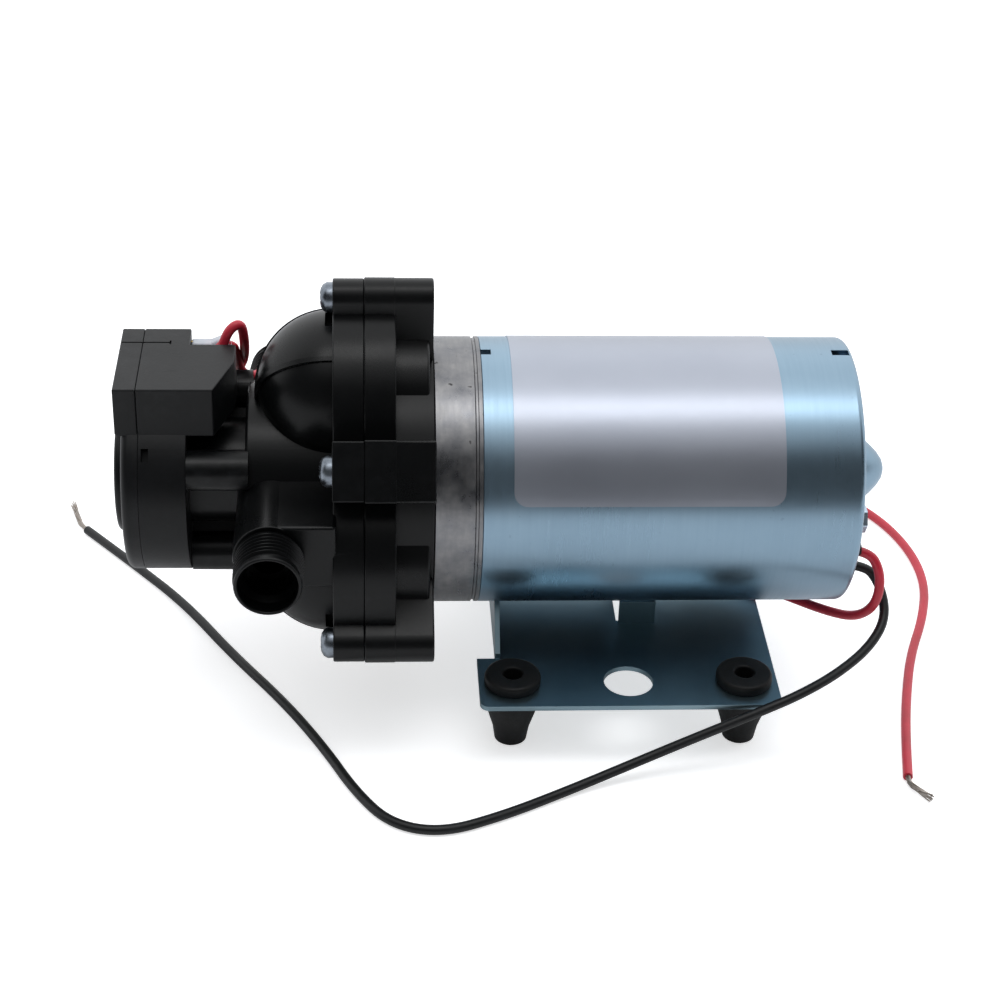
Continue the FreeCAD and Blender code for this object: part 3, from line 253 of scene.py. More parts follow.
def addRoute(curve, points, resolution):
    # a smooth line past control points in metres
    spline = curve.splines.new("NURBS")
    spline.points.add(len(points) - 1)
    for point, spot in zip(spline.points, points):
        point.co = (*spot, 1)
    spline.order_u = 3
    spline.use_endpoint_u = True
    spline.resolution_u = resolution


def laidCurve(curve, finish, stands):
    curve.materials.append(finishes[finish])
    piece = bpy.data.objects.new(curve.name, curve)
    scene.collection.objects.link(piece)
    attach(piece, "root")
    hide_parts(stands)
    return piece


def addLead(name, points, finish, stands):
    curve = newCurve(name, leads["width"], 5)
    addRoute(curve, [[c * mm for c in spot] for spot in points], 12)
    return laidCurve(curve, finish, stands)


def addStrands(name, points, stands):
    # bare strands, twisted round one in the middle, that open towards their tips
    curve = newCurve(name, strand["width"], 2)
    spots = [Vector(p) for p in points]
    outer = strand["count"] - 1
    for turn in range(strand["count"]):
        route = []
        for i, spot in enumerate(spots):
            ahead = (spots[min(i + 1, len(spots) - 1)] - spots[max(i - 1, 0)]).normalized()
            side = ahead.cross(Vector((0, 0, 1))).normalized()
            rise = side.cross(ahead)
            angle = turn * math.tau / outer + strand["twist"] * i
            opening = strand["fray"] * i * (0.5 + 0.5 * math.sin(2.3 * turn + 1))
            reach = 0.0 if turn == outer else strand["reach"] + opening
            off = side * math.cos(angle) * reach + rise * max(math.sin(angle) * reach, -0.9)
            route.append((spot + off) * mm)
        addRoute(curve, route, 10)
    return laidCurve(curve, "bare_copper", stands)


# the control points of part.py's routes
leads = {
    "width": 2.8,
    "black": [
        (58.6, -19.41, 43.54), (69.4, -19.41, 43.54),
        (74.2, -22, 38.5), (75.6, -29.5, 31.5), (69.5, -38, 27), (59, -46.5, 24), (47.5, -53.5, 22),
        (36, -57.2, 19), (23, -58.8, 13.8), (9, -60.5, 8), (-5, -64, 3.6), (-20, -70.5, 1.4),
        (-37, -80, 1.4), (-54, -87, 1.4), (-68, -83, 1.4), (-77.5, -69, 1.4), (-86, -50, 1.4),
        (-98, -28, 1.4), (-114.5, -3.5, 1.4), (-130, 23, 1.4), (-148, 46, 1.4), (-164.5, 66, 1.4)],
    "blackTip": [(-164.5, 66, 1.4), (-166.7, 68.7, 1.4), (-168.6, 74.5, 1.4), (-170.5, 82, 1.4)],
    "red": [
        (-120, 10.8, 95.2), (-115.2, 10.8, 96.6),
        (-113.0, 11.6, 102.8), (-109.4, 13.2, 104.4), (-108.8, 16.8, 96.5), (-109.4, 24, 87.5),
        (-111.5, 35, 78.5),
        (-114, 46, 67), (-114, 54, 52), (-109, 60, 36), (-101, 65, 20), (-87, 69.5, 7.5), (-68, 73, 1.4),
        (-42, 76, 1.4), (-14, 77, 1.4), (14, 80, 1.4), (42, 85.5, 1.4), (66, 92, 1.4), (85, 87.5, 1.4),
        (97, 72, 1.4), (103.5, 53, 1.4), (104.5, 33, 1.4), (99.5, 13.5, 1.4), (91.5, -6, 1.4),
        (86, -26, 1.4), (81.5, -46, 1.4), (78.2, -65, 1.4)],
    "redTip": [(78.2, -65, 1.4), (77.9, -67, 1.4), (79.4, -70.6, 1.4), (83, -74.5, 1.4)],
    "jumper": [
        (58.6, -25.86, 52.76), (68.4, -25.86, 52.76),
        (72.3, -29, 46.5), (71.8, -31, 37.2), (67.6, -26.5, 29.4), (61, -15, 24.0), (50, -3.5, 22.3),
        (34, 9.5, 21.3), (14, 18.5, 21.3), (-8, 23.5, 21.5), (-28, 28.5, 22), (-43, 39, 26.5),
        (-52, 54, 30.5), (-61, 62, 37.5), (-71, 67, 47.5), (-81, 68, 59), (-88, 63.5, 70),
        (-94.5, 54, 78.3), (-100.5, 42.5, 79.3), (-106, 32, 76.5), (-110.6, 26, 81), (-111.6, 21.5, 89.5),
        (-112.2, 16, 96.6), (-120, 15.6, 95.2)],
}
blackLead = addLead("blackLead", leads["black"], "black_wire", "black_lead")
redLead = addLead("redLead", leads["red"], "red_wire", "red_lead")
jumperLead = addLead("jumperLead", leads["jumper"], "red_wire", "jumper_lead")
blackStrands = addStrands("blackStrands", leads["blackTip"], "black_lead_strands")
redStrands = addStrands("redStrands", leads["redTip"], "red_lead_strands")
print("leads laid")


# Shapes, in millimetres along and round the pump axis
alongX = Matrix.Rotation(math.radians(90), 4, "Y")
alongY = Matrix.Rotation(math.radians(-90), 4, "X")
axisUp = axisHeight / mm


def axisPoint(x, ring=0.0, degrees=90.0):
    turn = math.radians(degrees)
    return Vector((x * mm, -ring * mm * math.cos(turn), axisHeight + ring * mm * math.sin(turn)))


def stepsFor(radius):
    # how many sides a round thing has
    return int(min(144, max(24, 16 + 4 * radius)) // 4 * 4)


def cone(matrix, radius, tip, length, steps=None):
    shape = bmesh.new()
    bmesh.ops.create_cone(shape, cap_ends=True, segments=steps or stepsFor(radius), radius1=radius * mm,
                          radius2=tip * mm, depth=length * mm, matrix=matrix)
    return shape


def rod(x0, x1, radius, ring=0.0, degrees=90.0, tip=None, steps=None):
    middle = Matrix.Translation(axisPoint((x0 + x1) / 2, ring, degrees))
    return cone(middle @ alongX, radius, radius if tip is None else tip, x1 - x0, steps)


def crossRod(x, y0, y1, radius, height=None):
    height = axisHeight if height is None else height * mm
    middle = Matrix.Translation(Vector((x * mm, (y0 + y1) / 2 * mm, height)))
    return cone(middle @ alongY, radius, radius, y1 - y0)


def post(x, y, z0, z1, radius):
    middle = Matrix.Translation(Vector((x, y, (z0 + z1) / 2)) * mm)
    return cone(middle, radius, radius, z1 - z0)


def block(x0, x1, y0, y1, z0, z1):
    shape = bmesh.new()
    size = Matrix.Diagonal(((x1 - x0) * mm, (y1 - y0) * mm, (z1 - z0) * mm, 1))
    middle = Matrix.Translation(Vector((x0 + x1, y0 + y1, z0 + z1)) / 2 * mm)
    bmesh.ops.create_cube(shape, size=1, matrix=middle @ size)
    return shape


def arm(x0, x1, halfWidth, inner, outer, degrees):
    # a box that reaches out from the pump axis
    turn = math.radians(degrees)
    along = Vector((1, 0, 0)) * (x1 - x0) * mm
    across = Vector((0, math.sin(turn), math.cos(turn))) * 2 * halfWidth * mm
    outward = Vector((0, -math.cos(turn), math.sin(turn))) * (outer - inner) * mm
    frameOf = Matrix((along, across, outward)).transposed().to_4x4()
    shape = bmesh.new()
    middle = Matrix.Translation(axisPoint((x0 + x1) / 2, (inner + outer) / 2, degrees))
    bmesh.ops.create_cube(shape, size=1, matrix=middle @ frameOf)
    return shape


def paddle(x0, x1, radius, inner, outer, degrees):
    # an arm with a round end, as one prism
    turn = math.radians(degrees)
    c, s = math.cos(turn), math.sin(turn)
    tip = [math.radians(180 - 7.5 * i) for i in range(25)]
    flat = [(-radius, inner), *((radius * math.cos(t), outer + radius * math.sin(t)) for t in tip),
            (radius, inner)]
    return sidePrism([(u * s - v * c, axisUp + u * c + v * s) for u, v in flat], x0, x1)


def ball(centre, radii):
    shape = bmesh.new()
    size = Matrix.Diagonal((*(r * mm for r in radii), 1))
    bmesh.ops.create_uvsphere(shape, u_segments=72, v_segments=36, radius=1,
                              matrix=Matrix.Translation(centre) @ size @ alongX)
    return shape


def shifted(x, profile):
    return [(x + step, radius) for step, radius in profile]


def roundCorner(x, radius, edge, facing):
    # the outer corner of a profile, from its side to its end face at x
    return [(x - facing * edge + facing * edge * math.sin(math.radians(a)),
             radius - edge + edge * math.cos(math.radians(a))) for a in range(0, 91, 15)]


def spun(profile, steps=96, ring=0.0, degrees=90.0):
    # turns a profile of (x, radius) about the pump axis, or about a line beside it
    shape = bmesh.new()
    corners = [shape.verts.new((x * mm, 0, r * mm)) for x, r in profile]
    onAxis = profile[0][1] == 0 and profile[-1][1] == 0
    pairs = list(zip(corners, corners[1:])) + ([] if onAxis else [(corners[-1], corners[0])])
    edges = [shape.edges.new(pair) for pair in pairs]
    bmesh.ops.spin(shape, geom=corners + edges, cent=(0, 0, 0), axis=(1, 0, 0), dvec=(0, 0, 0),
                   angle=math.tau, steps=steps, use_merge=True, use_duplicate=False)
    bmesh.ops.remove_doubles(shape, verts=shape.verts, dist=1e-7)
    bmesh.ops.recalc_face_normals(shape, faces=shape.faces)
    bmesh.ops.translate(shape, verts=shape.verts, vec=axisPoint(0, ring, degrees))
    return shape


def turnedUp(profile, x, y):
    # turns a profile of (radius, height) about an upright line
    shape = spun([(z, r) for r, z in profile], 72)
    bmesh.ops.translate(shape, verts=shape.verts, vec=-axisPoint(0))
    bmesh.ops.transform(shape, verts=shape.verts,
                        matrix=Matrix.Translation(Vector((x, y, 0)) * mm) @ alongX.inverted())
    return shape


def prism(outline, push):
    # pushes a flat face of corners along a line
    shape = bmesh.new()
    face = shape.faces.new([shape.verts.new([c * mm for c in corner]) for corner in outline])
    top = bmesh.ops.extrude_face_region(shape, geom=[face])["geom"]
    raised = [v for v in top if isinstance(v, bmesh.types.BMVert)]
    bmesh.ops.translate(shape, verts=raised, vec=[c * mm for c in push])
    bmesh.ops.recalc_face_normals(shape, faces=shape.faces)
    return shape


def planPrism(outline, z0, z1):
    return prism([(x, y, z0) for x, y in outline], (0, 0, z1 - z0))


def sidePrism(outline, x0, x1):
    return prism([(x0, y, z) for y, z in outline], (x1 - x0, 0, 0))


def asMesh(shape):
    mesh = bpy.data.meshes.new("shape")
    shape.to_mesh(mesh)
    shape.free()
    return mesh


def boolean(operation, shapes):
    # an exact boolean of the first shape with all the others, on a grid of one micron
    for shape in shapes:
        for v in shape.verts:
            v.co = [round(c, 6) for c in v.co]
    others = bpy.data.collections.new("others")
    scene.collection.children.link(others)
    made = [bpy.data.objects.new("shape", asMesh(shape)) for shape in shapes]
    scene.collection.objects.link(made[0])
    for item in made[1:]:
        others.objects.link(item)
    change = made[0].modifiers.new("boolean", "BOOLEAN")
    change.operation, change.solver, change.operand_type = operation, "EXACT", "COLLECTION"
    change.collection = others
    bpy.context.view_layer.update()
    result = bmesh.new()
    result.from_mesh(made[0].evaluated_get(bpy.context.evaluated_depsgraph_get()).to_mesh())
    for item in made:
        bpy.data.objects.remove(item)
    bpy.data.collections.remove(others)
    return result


def join(*shapes):
    return boolean("UNION", shapes)


def cut(*shapes):
    return boolean("DIFFERENCE", shapes)


def beside(*shapes):
    # separate solids that make one piece
    result = bmesh.new()
    for shape in shapes:
        result.from_mesh(asMesh(shape))
    return result


def rounded(shape, width, segments=2, sharper=28):
    # merges flat faces and rounds the edges that are sharper than an angle
    bmesh.ops.remove_doubles(shape, verts=shape.verts, dist=1e-6)
    bmesh.ops.dissolve_limit(shape, angle_limit=math.radians(0.6), verts=shape.verts, edges=shape.edges,
                             use_dissolve_boundaries=False)
    edges = [e for e in shape.edges if e.is_manifold and e.calc_face_angle() > math.radians(sharper)]
    bmesh.ops.bevel(shape, geom=edges, offset=width * mm, offset_type="OFFSET", segments=segments,
                    profile=0.5, affect="EDGES", material=-1, clamp_overlap=True)
    return shape


def sliced(shape, place, outward):
    # cuts the shape at a plane, keeps what is behind it and closes the cut
    everything = shape.verts[:] + shape.edges[:] + shape.faces[:]
    cutRim = bmesh.ops.bisect_plane(shape, geom=everything, plane_co=place, plane_no=outward,
                                    clear_outer=True, clear_inner=False)["geom_cut"]
    bmesh.ops.edgeloop_fill(shape, edges=[e for e in cutRim if isinstance(e, bmesh.types.BMEdge)])
    return shape


def finishPiece(name, shape, slot, stands, smooth=32):
    bmesh.ops.remove_doubles(shape, verts=shape.verts, dist=1e-6)
    bmesh.ops.recalc_face_normals(shape, faces=shape.faces)
    for face in shape.faces:
        face.smooth = True
    mesh = asMesh(shape)
    mesh.name = name
    mesh.set_sharp_from_angle(angle=math.radians(smooth))
    mesh.materials.append(finishes[slot])
    piece = bpy.data.objects.new(name, mesh)
    scene.collection.objects.link(piece)
    even = piece.modifiers.new("even shading", "WEIGHTED_NORMAL")
    even.keep_sharp = True
    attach(piece, "root")
    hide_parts(stands)
    return piece


# Motor can, its end cap and what its rear carries
motor = {"front": -42.4, "rear": 63.2, "radius": 38.2, "wall": 2.2, "edge": 1.8, "slot": 3.0,
         "capFace": 62.8, "capInside": [(11.1, 0), (11.1, 4.6), (2.8, 7.6), (-2.6, 7.6)], "capRim": -2.6,
         "capBump": [(0, 15.2), (0.35, 14.0), (1.2, 13.0), (3.5, 11.5), (6.5, 9.5), (9.2, 7.3), (11.3, 5.2),
                     (12.7, 3.2), (13.3, 1.5), (13.5, 0)],
         "boltRing": 27.6, "boltHead": 4.1, "boltHeight": 3.2, "boltDish": 0.45, "boltShank": 2.0,
         "boltTip": -52.6, "washer": 0.7, "wire": 1.4, "grommetRing": 28.2, "grommetAngle": -35.0,
         "grommetSpread": 11.5, "grommet": 2.2, "grommetHalf": 5.6, "grommetEnd": 3.2, "collar": 2.3}


def makeCan():
    m = motor
    inner, outer = m["radius"] - m["wall"], m["radius"]
    tube = spun([(m["front"], inner), (m["front"], outer - 0.25), (m["front"] + 0.25, outer),
                 *roundCorner(m["rear"], outer, m["edge"], 1), (m["rear"], inner)], 176)
    reaches = ((m["front"] - 1, m["front"] + m["slot"]), (m["rear"] - 2 * m["slot"], m["rear"] - 1.1))
    slots = [arm(x0, x1, m["slot"] / 2, inner - 3, outer + 1, 90) for x0, x1 in reaches]
    finishPiece("motorCan", rounded(cut(tube, *slots), 0.15, 1, 50), "zinc_can", "motor_can")


def wireRods(x0, x1, radius, tip=None):
    return [rod(x0, x1, radius, motor["grommetRing"], motor["grommetAngle"] + side * motor["grommetSpread"],
                tip=tip) for side in (-1, 1)]


def makeEndCap():
    m = motor
    face, inner = m["capFace"], m["radius"] - m["wall"]
    cap = spun([*shifted(face, m["capInside"]), (face + m["capRim"], inner), (face, inner),
                *shifted(face, m["capBump"])], 112)
    finishPiece("endCap", cut(cap, *wireRods(face - 4, face + 1, m["wire"] + 0.1)), "zinc_can",
                "motor_end_cap", smooth=40)


def makeBolts():
    m = motor
    face = m["capFace"]
    bolts = []
    for degrees in (0, 180):
        head = rod(face + 0.5, face + m["boltHeight"], m["boltHead"], m["boltRing"], degrees, steps=6)
        top = max(head.faces, key=lambda f: f.calc_center_median().x)
        bmesh.ops.inset_region(head, faces=[top], thickness=1.0 * mm, depth=-m["boltDish"] * mm)
        washer = rod(face, face + m["washer"], m["boltHead"] + 0.35, m["boltRing"], degrees)
        bolts += [rounded(head, 0.35, 2, 20), rounded(washer, 0.2),
                  rod(m["boltTip"], face, m["boltShank"], m["boltRing"], degrees)]
    finishPiece("throughBolts", beside(*bolts), "zinc_bolt", "through_bolts")


def makeGrommet():
    m = motor
    face, back = m["capFace"], m["capFace"] + m["grommet"]
    low, high = m["grommetRing"] - 3.7, m["grommetRing"] + 2.5
    body = [arm(face, back, m["grommetHalf"], low, high, m["grommetAngle"])]
    body = [rounded(part, 0.5) for part in body + wireRods(face, back, m["grommetEnd"])]
    collars = wireRods(face + 1, face + 3.4, m["collar"], m["collar"] - 0.3)
    collars = [rounded(part, 0.3) for part in collars]
    holes = wireRods(face - 1, face + 5, m["wire"] + 0.02)
    finishPiece("cableGrommet", cut(join(*body, *collars), *holes), "black_rubber", "cable_grommet")


makeCan()
makeEndCap()
makeBolts()
makeGrommet()
print("motor made")


# Cast drive flange between can and head
flange = {"front": -55.6, "rear": -42.4, "radius": 38.2, "bore": 9.2, "groove": 0.5,
          "grooveAt": (-44.5, -44.2, -43.6, -43.4), "boltHole": 2.02, "screwHole": 1.85, "screwRing": 26.0,
          "inside": [(0, 36.0), (4, 36.0), (4, 33.5), (-2, 17.0), (-2, 11.0), (-9, 11.0)]}


def makeFlange():
    f = flange
    x0, outer = f["front"], f["radius"]
    depths = (outer, outer - f["groove"], outer - f["groove"], outer)
    ring = spun([(x0, f["bore"]), (x0, outer - 0.3), (x0 + 0.3, outer), *zip(f["grooveAt"], depths),
                 (f["rear"], outer), *shifted(f["rear"], f["inside"]), (f["rear"] - 9, f["bore"])], 176)
    holes = [rod(x0 + 3, f["rear"] + 6, f["boltHole"], motor["boltRing"], a) for a in (0, 180)]
    holes += [rod(x0 - 1, x0 + 10, f["screwHole"], f["screwRing"], a) for a in chamberAngles]
    finishPiece("driveFlange", cut(ring, *holes), "cast_metal", "drive_flange", smooth=40)


makeFlange()
print("flange made")


# Pump head: two moulded housings with three chambers, six lugs and a rounded edge on every block
head = {"split": -74.8, "front": -83.4, "lobeRear": -66.2, "chamberRear": -56.8, "rear": -55.6,
        "lobeRing": 23.4, "lobe": 29.5, "chamberRing": 25.0, "chamber": 20.2, "barrel": 38.6,
        "lugRing": 54.9, "lug": 5.6, "valleyFoot": 20, "valleyReach": 52.0, "valleyScrew": 46.0,
        "valley": 8.4, "screw": 2.2, "pistonRing": 21.0, "chamberBore": 12.6, "cavity": 31.0,
        "shaftHole": 13.0, "floor": 2.5, "flangeScrew": 2.1, "rearSlim": 0.13, "upperSlim": 0.3,
        "edge": 0.4, "rearEdge": 0.6, "chamberEdge": 0.8}
screwPlaces = ([(head["lugRing"], a) for a in chamberAngles]
               + [(head["valleyScrew"], a) for a in valleyAngles])


def lobedBlock(x0, x1, shrink):
    h = head
    parts = [rod(x0, x1, h["barrel"] - 4)]
    for a in chamberAngles:
        parts += [rod(x0, x1, h["lobe"] - shrink, h["lobeRing"], a),
                  paddle(x0, x1, h["lug"] - shrink, h["lobeRing"], h["lugRing"], a)]
    parts += [arm(x0, x1, h["valley"] - shrink, h["valleyFoot"], h["valleyReach"], a) for a in valleyAngles]
    return join(*[rounded(part, h["edge"], 3, 20) for part in parts])


def makeLowerHousing():
    h = head
    split, rear, inside, slim = h["split"], h["rear"], h["lobeRear"] - 1.5, h["rearSlim"]
    barrel = rounded(rod(inside, rear, h["barrel"]), h["edge"])
    chambers = [rod(inside, h["chamberRear"], h["chamber"], h["chamberRing"], a) for a in chamberAngles]
    chambers = [rounded(part, h["chamberEdge"], 3) for part in chambers]
    lugs = [paddle(inside, rear, h["lug"] - slim, h["lobeRing"], h["lugRing"], a) for a in chamberAngles]
    lugs = [rounded(part, h["rearEdge"], 3, 20) for part in lugs]
    valleys = [arm(inside, rear, h["valley"] - slim, h["valleyFoot"], h["valleyReach"] - slim, a)
               for a in valleyAngles]
    valleys = [rounded(part, h["rearEdge"], 3) for part in valleys]
    shell = join(lobedBlock(split, h["lobeRear"], 0.0), barrel, *chambers, *lugs, *valleys)
    hollow = [rod(split - 1, rear - h["floor"], h["cavity"]), rod(rear - 3.5, rear + 1, h["shaftHole"])]
    hollow += [rod(split - 1, split + 6, h["chamberBore"] + 2, h["pistonRing"], a) for a in chamberAngles]
    hollow += [rod(split - 1, rear + 1, h["screw"], ring, a) for ring, a in screwPlaces]
    hollow += [rod(rear - 3.5, rear + 1, h["flangeScrew"], flange["screwRing"], a) for a in chamberAngles]
    finishPiece("lowerHousing", cut(shell, *hollow), "black_plastic", "lower_housing")


makeLowerHousing()
print("lower housing made")


front = {"domeRing": 27.0, "domeRadial": 21.7, "domeAxial": 21.4, "ridgeRing": 22.0, "ridgeLean": 34.0,
         "ridge": 0.7, "ridgeProud": 0.9, "hub": 25.0, "hubFront": -107.7, "portX": -100.4,
         "portReach": 61.0, "port": 9.5, "portBore": 6.9, "mouth": 8.1, "shoulder": 47.0, "manifold": 9.7,
         "passage": 5.0, "inletDepth": 17.0, "neck": 15.0, "neckFront": -123.7, "bossRing": 23.2,
         "boss": 5.6, "rib": 1.3, "bossAngles": (30, 130, 210, 300), "screwAngles": (30, 210, 300),
         "screw": 1.5, "screwDepth": 9, "recess": 7.6, "recessLobe": 17.6, "outletValve": 13.2,
         "reliefDepth": 2.2, "relief": 4.2, "reliefRing": 47.4}


def makeDome():
    # the uppermost moulded dome, with two ridges that lean out from its middle
    f, x = front, head["front"]
    radii = (f["domeAxial"], f["domeRadial"], f["domeRadial"])
    centre, foot = axisPoint(x, f["domeRing"]), axisPoint(0, f["ridgeRing"])
    turn, lean = math.radians(90), math.radians(f["ridgeLean"])
    outward = Vector((0, -math.cos(turn), math.sin(turn)))
    across = Vector((0, math.sin(turn), math.cos(turn)))
    parts = [ball(centre, radii)]
    for side in (-1, 1):
        facing = side * math.cos(lean) * across - math.sin(lean) * outward
        ridge = ball(centre, [radius + f["ridgeProud"] for radius in radii])
        sliced(ridge, foot + facing * f["ridge"] * mm, facing)
        sliced(ridge, foot - facing * f["ridge"] * mm, -facing)
        parts.append(ridge)
    keeper = arm(x - f["domeAxial"] - 3, x + 1, 26, 3, 60, 90)
    return boolean("INTERSECT", [join(*parts), keeper])


def makeUpperHousing():
    h, f = head, front
    x0, neckFront, hubFront, portX = h["front"], f["neckFront"], f["hubFront"], f["portX"]
    ribs = [arm(neckFront + 0.05, hubFront + 1, f["rib"], f["neck"] - 1, f["bossRing"], a)
            for a in f["bossAngles"]]
    domes = [makeDome()]
    for a in chamberAngles[1:]:
        domes.append(domes[0].copy())
        turn = Matrix.Rotation(math.radians(90 - a), 4, "X")
        turn = Matrix.Translation(axisPoint(0)) @ turn @ Matrix.Translation(-axisPoint(0))
        bmesh.ops.transform(domes[-1], verts=domes[-1].verts, matrix=turn)
    hub = rounded(rod(hubFront, x0 + 1, f["hub"]), 0.9, 3)
    reach = f["shoulder"] - 0.1
    manifold = block(portX, x0 + 1, -reach, reach, axisUp - f["manifold"], axisUp + f["manifold"])
    shoulder = crossRod(portX, -f["shoulder"], f["shoulder"], f["port"] + 0.5)
    neck = rod(neckFront, hubFront + 1, f["neck"])
    bosses = [rod(neckFront, hubFront + 1, f["boss"], f["bossRing"], a, tip=f["boss"] + 0.15)
              for a in f["bossAngles"]]
    shell = join(lobedBlock(x0, h["split"], h["upperSlim"]), hub, rounded(manifold, 1.0, 3),
                 rounded(shoulder, 0.5), neck, *bosses, *ribs, *domes)

    recess = h["split"] - f["recess"]
    hollow = [rod(recess, h["split"] + 1, f["recessLobe"], h["pistonRing"], a) for a in chamberAngles]
    hollow += [rod(recess, h["split"] + 1, h["pistonRing"] + 4),
               rod(recess - 5, recess + 1, f["outletValve"]),
               crossRod(portX, -f["shoulder"] - 1, -f["inletDepth"], f["passage"]),
               crossRod(portX, 0, f["shoulder"] + 1, f["passage"]),
               rod(portX, recess + 1, f["passage"], f["inletDepth"] + f["passage"], 0),
               rod(portX, recess + 1, f["passage"]),
               rod(neckFront - 1, portX, f["passage"] / 2)]
    hollow += [rod(x0 - 1, h["split"] + 1, h["screw"] + 0.1, ring, a) for ring, a in screwPlaces]
    hollow += [rod(neckFront - 1, neckFront + f["screwDepth"], f["screw"], f["bossRing"], a)
               for a in f["screwAngles"]]
    hollow += [rod(x0 - f["reliefDepth"], x0, f["relief"], f["reliefRing"], a) for a in chamberAngles]
    finishPiece("upperHousing", cut(shell, *hollow), "black_plastic", "upper_housing")


makeUpperHousing()
print("upper housing made")


thread = {"start": 47.7, "end": 59.3, "pitch": 1.6, "root": 8.7, "crest": 9.5, "turns": 6.8, "flat": 0.12,
          "flank": 0.42, "runOut": 1.2, "stepsPerTurn": 48}


def makeThread():
    # a ridge along X that winds up and runs out at both ends
    t = thread
    ridge = bmesh.new()
    half, sunk = t["flank"] * t["pitch"], t["root"] - 0.3
    section = [(t["start"] - half, sunk), (t["start"] - t["flat"], t["crest"]),
               (t["start"] + t["flat"], t["crest"]), (t["start"] + half, sunk)]
    corners = [ridge.verts.new((x * mm, 0, r * mm)) for x, r in section]
    startFace = ridge.faces.new(corners)
    steps = int(t["stepsPerTurn"] * t["turns"])
    bmesh.ops.spin(ridge, geom=corners + startFace.edges[:] + [startFace], cent=(0, 0, 0), axis=(1, 0, 0),
                   dvec=(t["pitch"] * t["turns"] / steps * mm, 0, 0), angle=math.tau * t["turns"],
                   steps=steps, use_merge=False, use_duplicate=False)
    low, high = t["start"] * mm, (t["start"] + t["pitch"] * t["turns"]) * mm
    least = (t["root"] - 0.2) * mm
    for v in ridge.verts:
        reach = math.hypot(v.co.y, v.co.z)
        ramp = min(1, (v.co.x - low + half * mm) / (t["runOut"] * mm),
                   (high + half * mm - v.co.x) / (t["runOut"] * mm))
        if reach > t["root"] * mm and ramp < 1:
            v.co.yz *= (least + max(ramp, 0) * (reach - least)) / reach
    bmesh.ops.recalc_face_normals(ridge, faces=ridge.faces)
    bmesh.ops.translate(ridge, verts=ridge.verts, vec=axisPoint(0))
    return ridge


def makePort(side, name, node):
    f, t = front, thread
    bore, mouth, end, lip = f["portBore"], f["mouth"], f["portReach"], f["port"] - 0.35
    sleeve = spun([(f["shoulder"], bore), (f["shoulder"], t["root"]), (t["end"] + 0.5, t["root"]),
                   (t["end"] + 0.9, lip), (end - 0.5, lip), (end, f["port"] - 0.7), (end, mouth + 0.25),
                   (end - 0.3, mouth), (end - 4.5, mouth), (end - 6.5, bore)], 96)
    port = join(rounded(sleeve, 0.25, 2, 25), makeThread())
    place = Matrix.Translation(axisPoint(f["portX"])) @ Matrix.Rotation(math.radians(90 * side), 4, "Z")
    bmesh.ops.transform(port, verts=port.verts, matrix=place @ Matrix.Translation(-axisPoint(0)))
    finishPiece(name, port, "black_plastic", node)


makePort(-1, "inletPort", "inlet_port")
makePort(1, "outletPort", "outlet_port")
print("ports threaded")


def crossRecess(top, ring, degrees, deep, wide, turned):
    # two crossed bars that cut a driver's recess into a head
    turn = Matrix.Rotation(math.radians(turned), 4, "X")
    middle = Matrix.Translation(axisPoint(top + deep / 2 - 0.2, ring, degrees)) @ turn
    bars = []
    for size in ((deep, 0.3 * wide, wide), (deep, wide, 0.3 * wide)):
        bar = bmesh.new()
        bmesh.ops.create_cube(bar, size=1, matrix=middle @ Matrix.Diagonal((*(s * mm for s in size), 1)))
        bars.append(bar)
    return bars


# crown is how far up and how wide the pan head is, as shares of its height and radius
headScrew = {"tip": -58.6, "radius": 4.25, "height": 3.5, "shank": 2.2, "recess": 2.2, "turned": (17, 31),
             "crown": ((0, 1), (0.45, 1), (0.75, 0.86), (0.94, 0.6), (1, 0.3), (1, 0))}


def makeHeadScrews():
    s, seat = headScrew, head["front"]
    top = seat - s["height"]
    profile = [(s["tip"], 0), (s["tip"], s["shank"]), (seat, s["shank"]),
               *((seat - up * s["height"], wide * s["radius"]) for up, wide in s["crown"])]
    first, each = s["turned"]
    screws, crosses = [], []
    for i, (ring, a) in enumerate(screwPlaces):
        screws.append(spun(profile, 48, ring, a))
        crosses += crossRecess(top, ring, a, s["recess"], 1.1 * s["radius"], first + each * i)
    finishPiece("headScrews", cut(beside(*screws), join(*crosses)), "steel_screw", "head_screws",
                smooth=38)


makeHeadScrews()
print("head screws made")


# Pressure switch
switch = {"radius": 28.4, "wall": 2.5, "split": -136.9, "coverFront": -141.7, "coverEdge": 2.2,
          "boss": 17.5, "bossFront": -144.5, "bossEdge": 1.2, "boxFront": -143.2, "boxRear": -116.0,
          "boxTip": -110.9, "boxBack": -123.8, "boxEdge": 0.45, "boxWall": 2, "half": 18.2, "low": 21.2,
          "high": 35.8, "shelf": 8.6, "tipHalf": 2.0, "rearWall": -126.7, "plungerHole": 8.5, "seat": 12.6,
          "bladeCentre": 13.2, "bladePitch": 4.8, "bladeLow": 29.4, "bladeHigh": 33.0, "sink": 1.9,
          "screwHead": 3.0, "screwHole": 1.6, "screwTip": -115.7, "screw": 1.5, "turned": (24, 40),
          "setScrew": 2.55, "setRoom": 5.7, "window": (-134.9, 38.3, 2.0, 3.7), "grooveY": 9.6,
          "grooveEnd": -129, "notchAt": (-140.8, -129.2)}
boxLow, boxHigh = axisUp + switch["low"], axisUp + switch["high"]


def boxPlan(grow=0.0):
    s = switch
    return [(s["split"], -s["half"] + grow), (s["boxRear"] - grow, -s["half"] + grow),
            (s["boxTip"] - grow, -s["tipHalf"] + grow / 2), (s["boxTip"] - grow, s["shelf"] - grow),
            (s["boxBack"] - grow, s["shelf"] - grow), (s["boxBack"] - grow, s["half"] - grow),
            (s["split"], s["half"] - grow)]


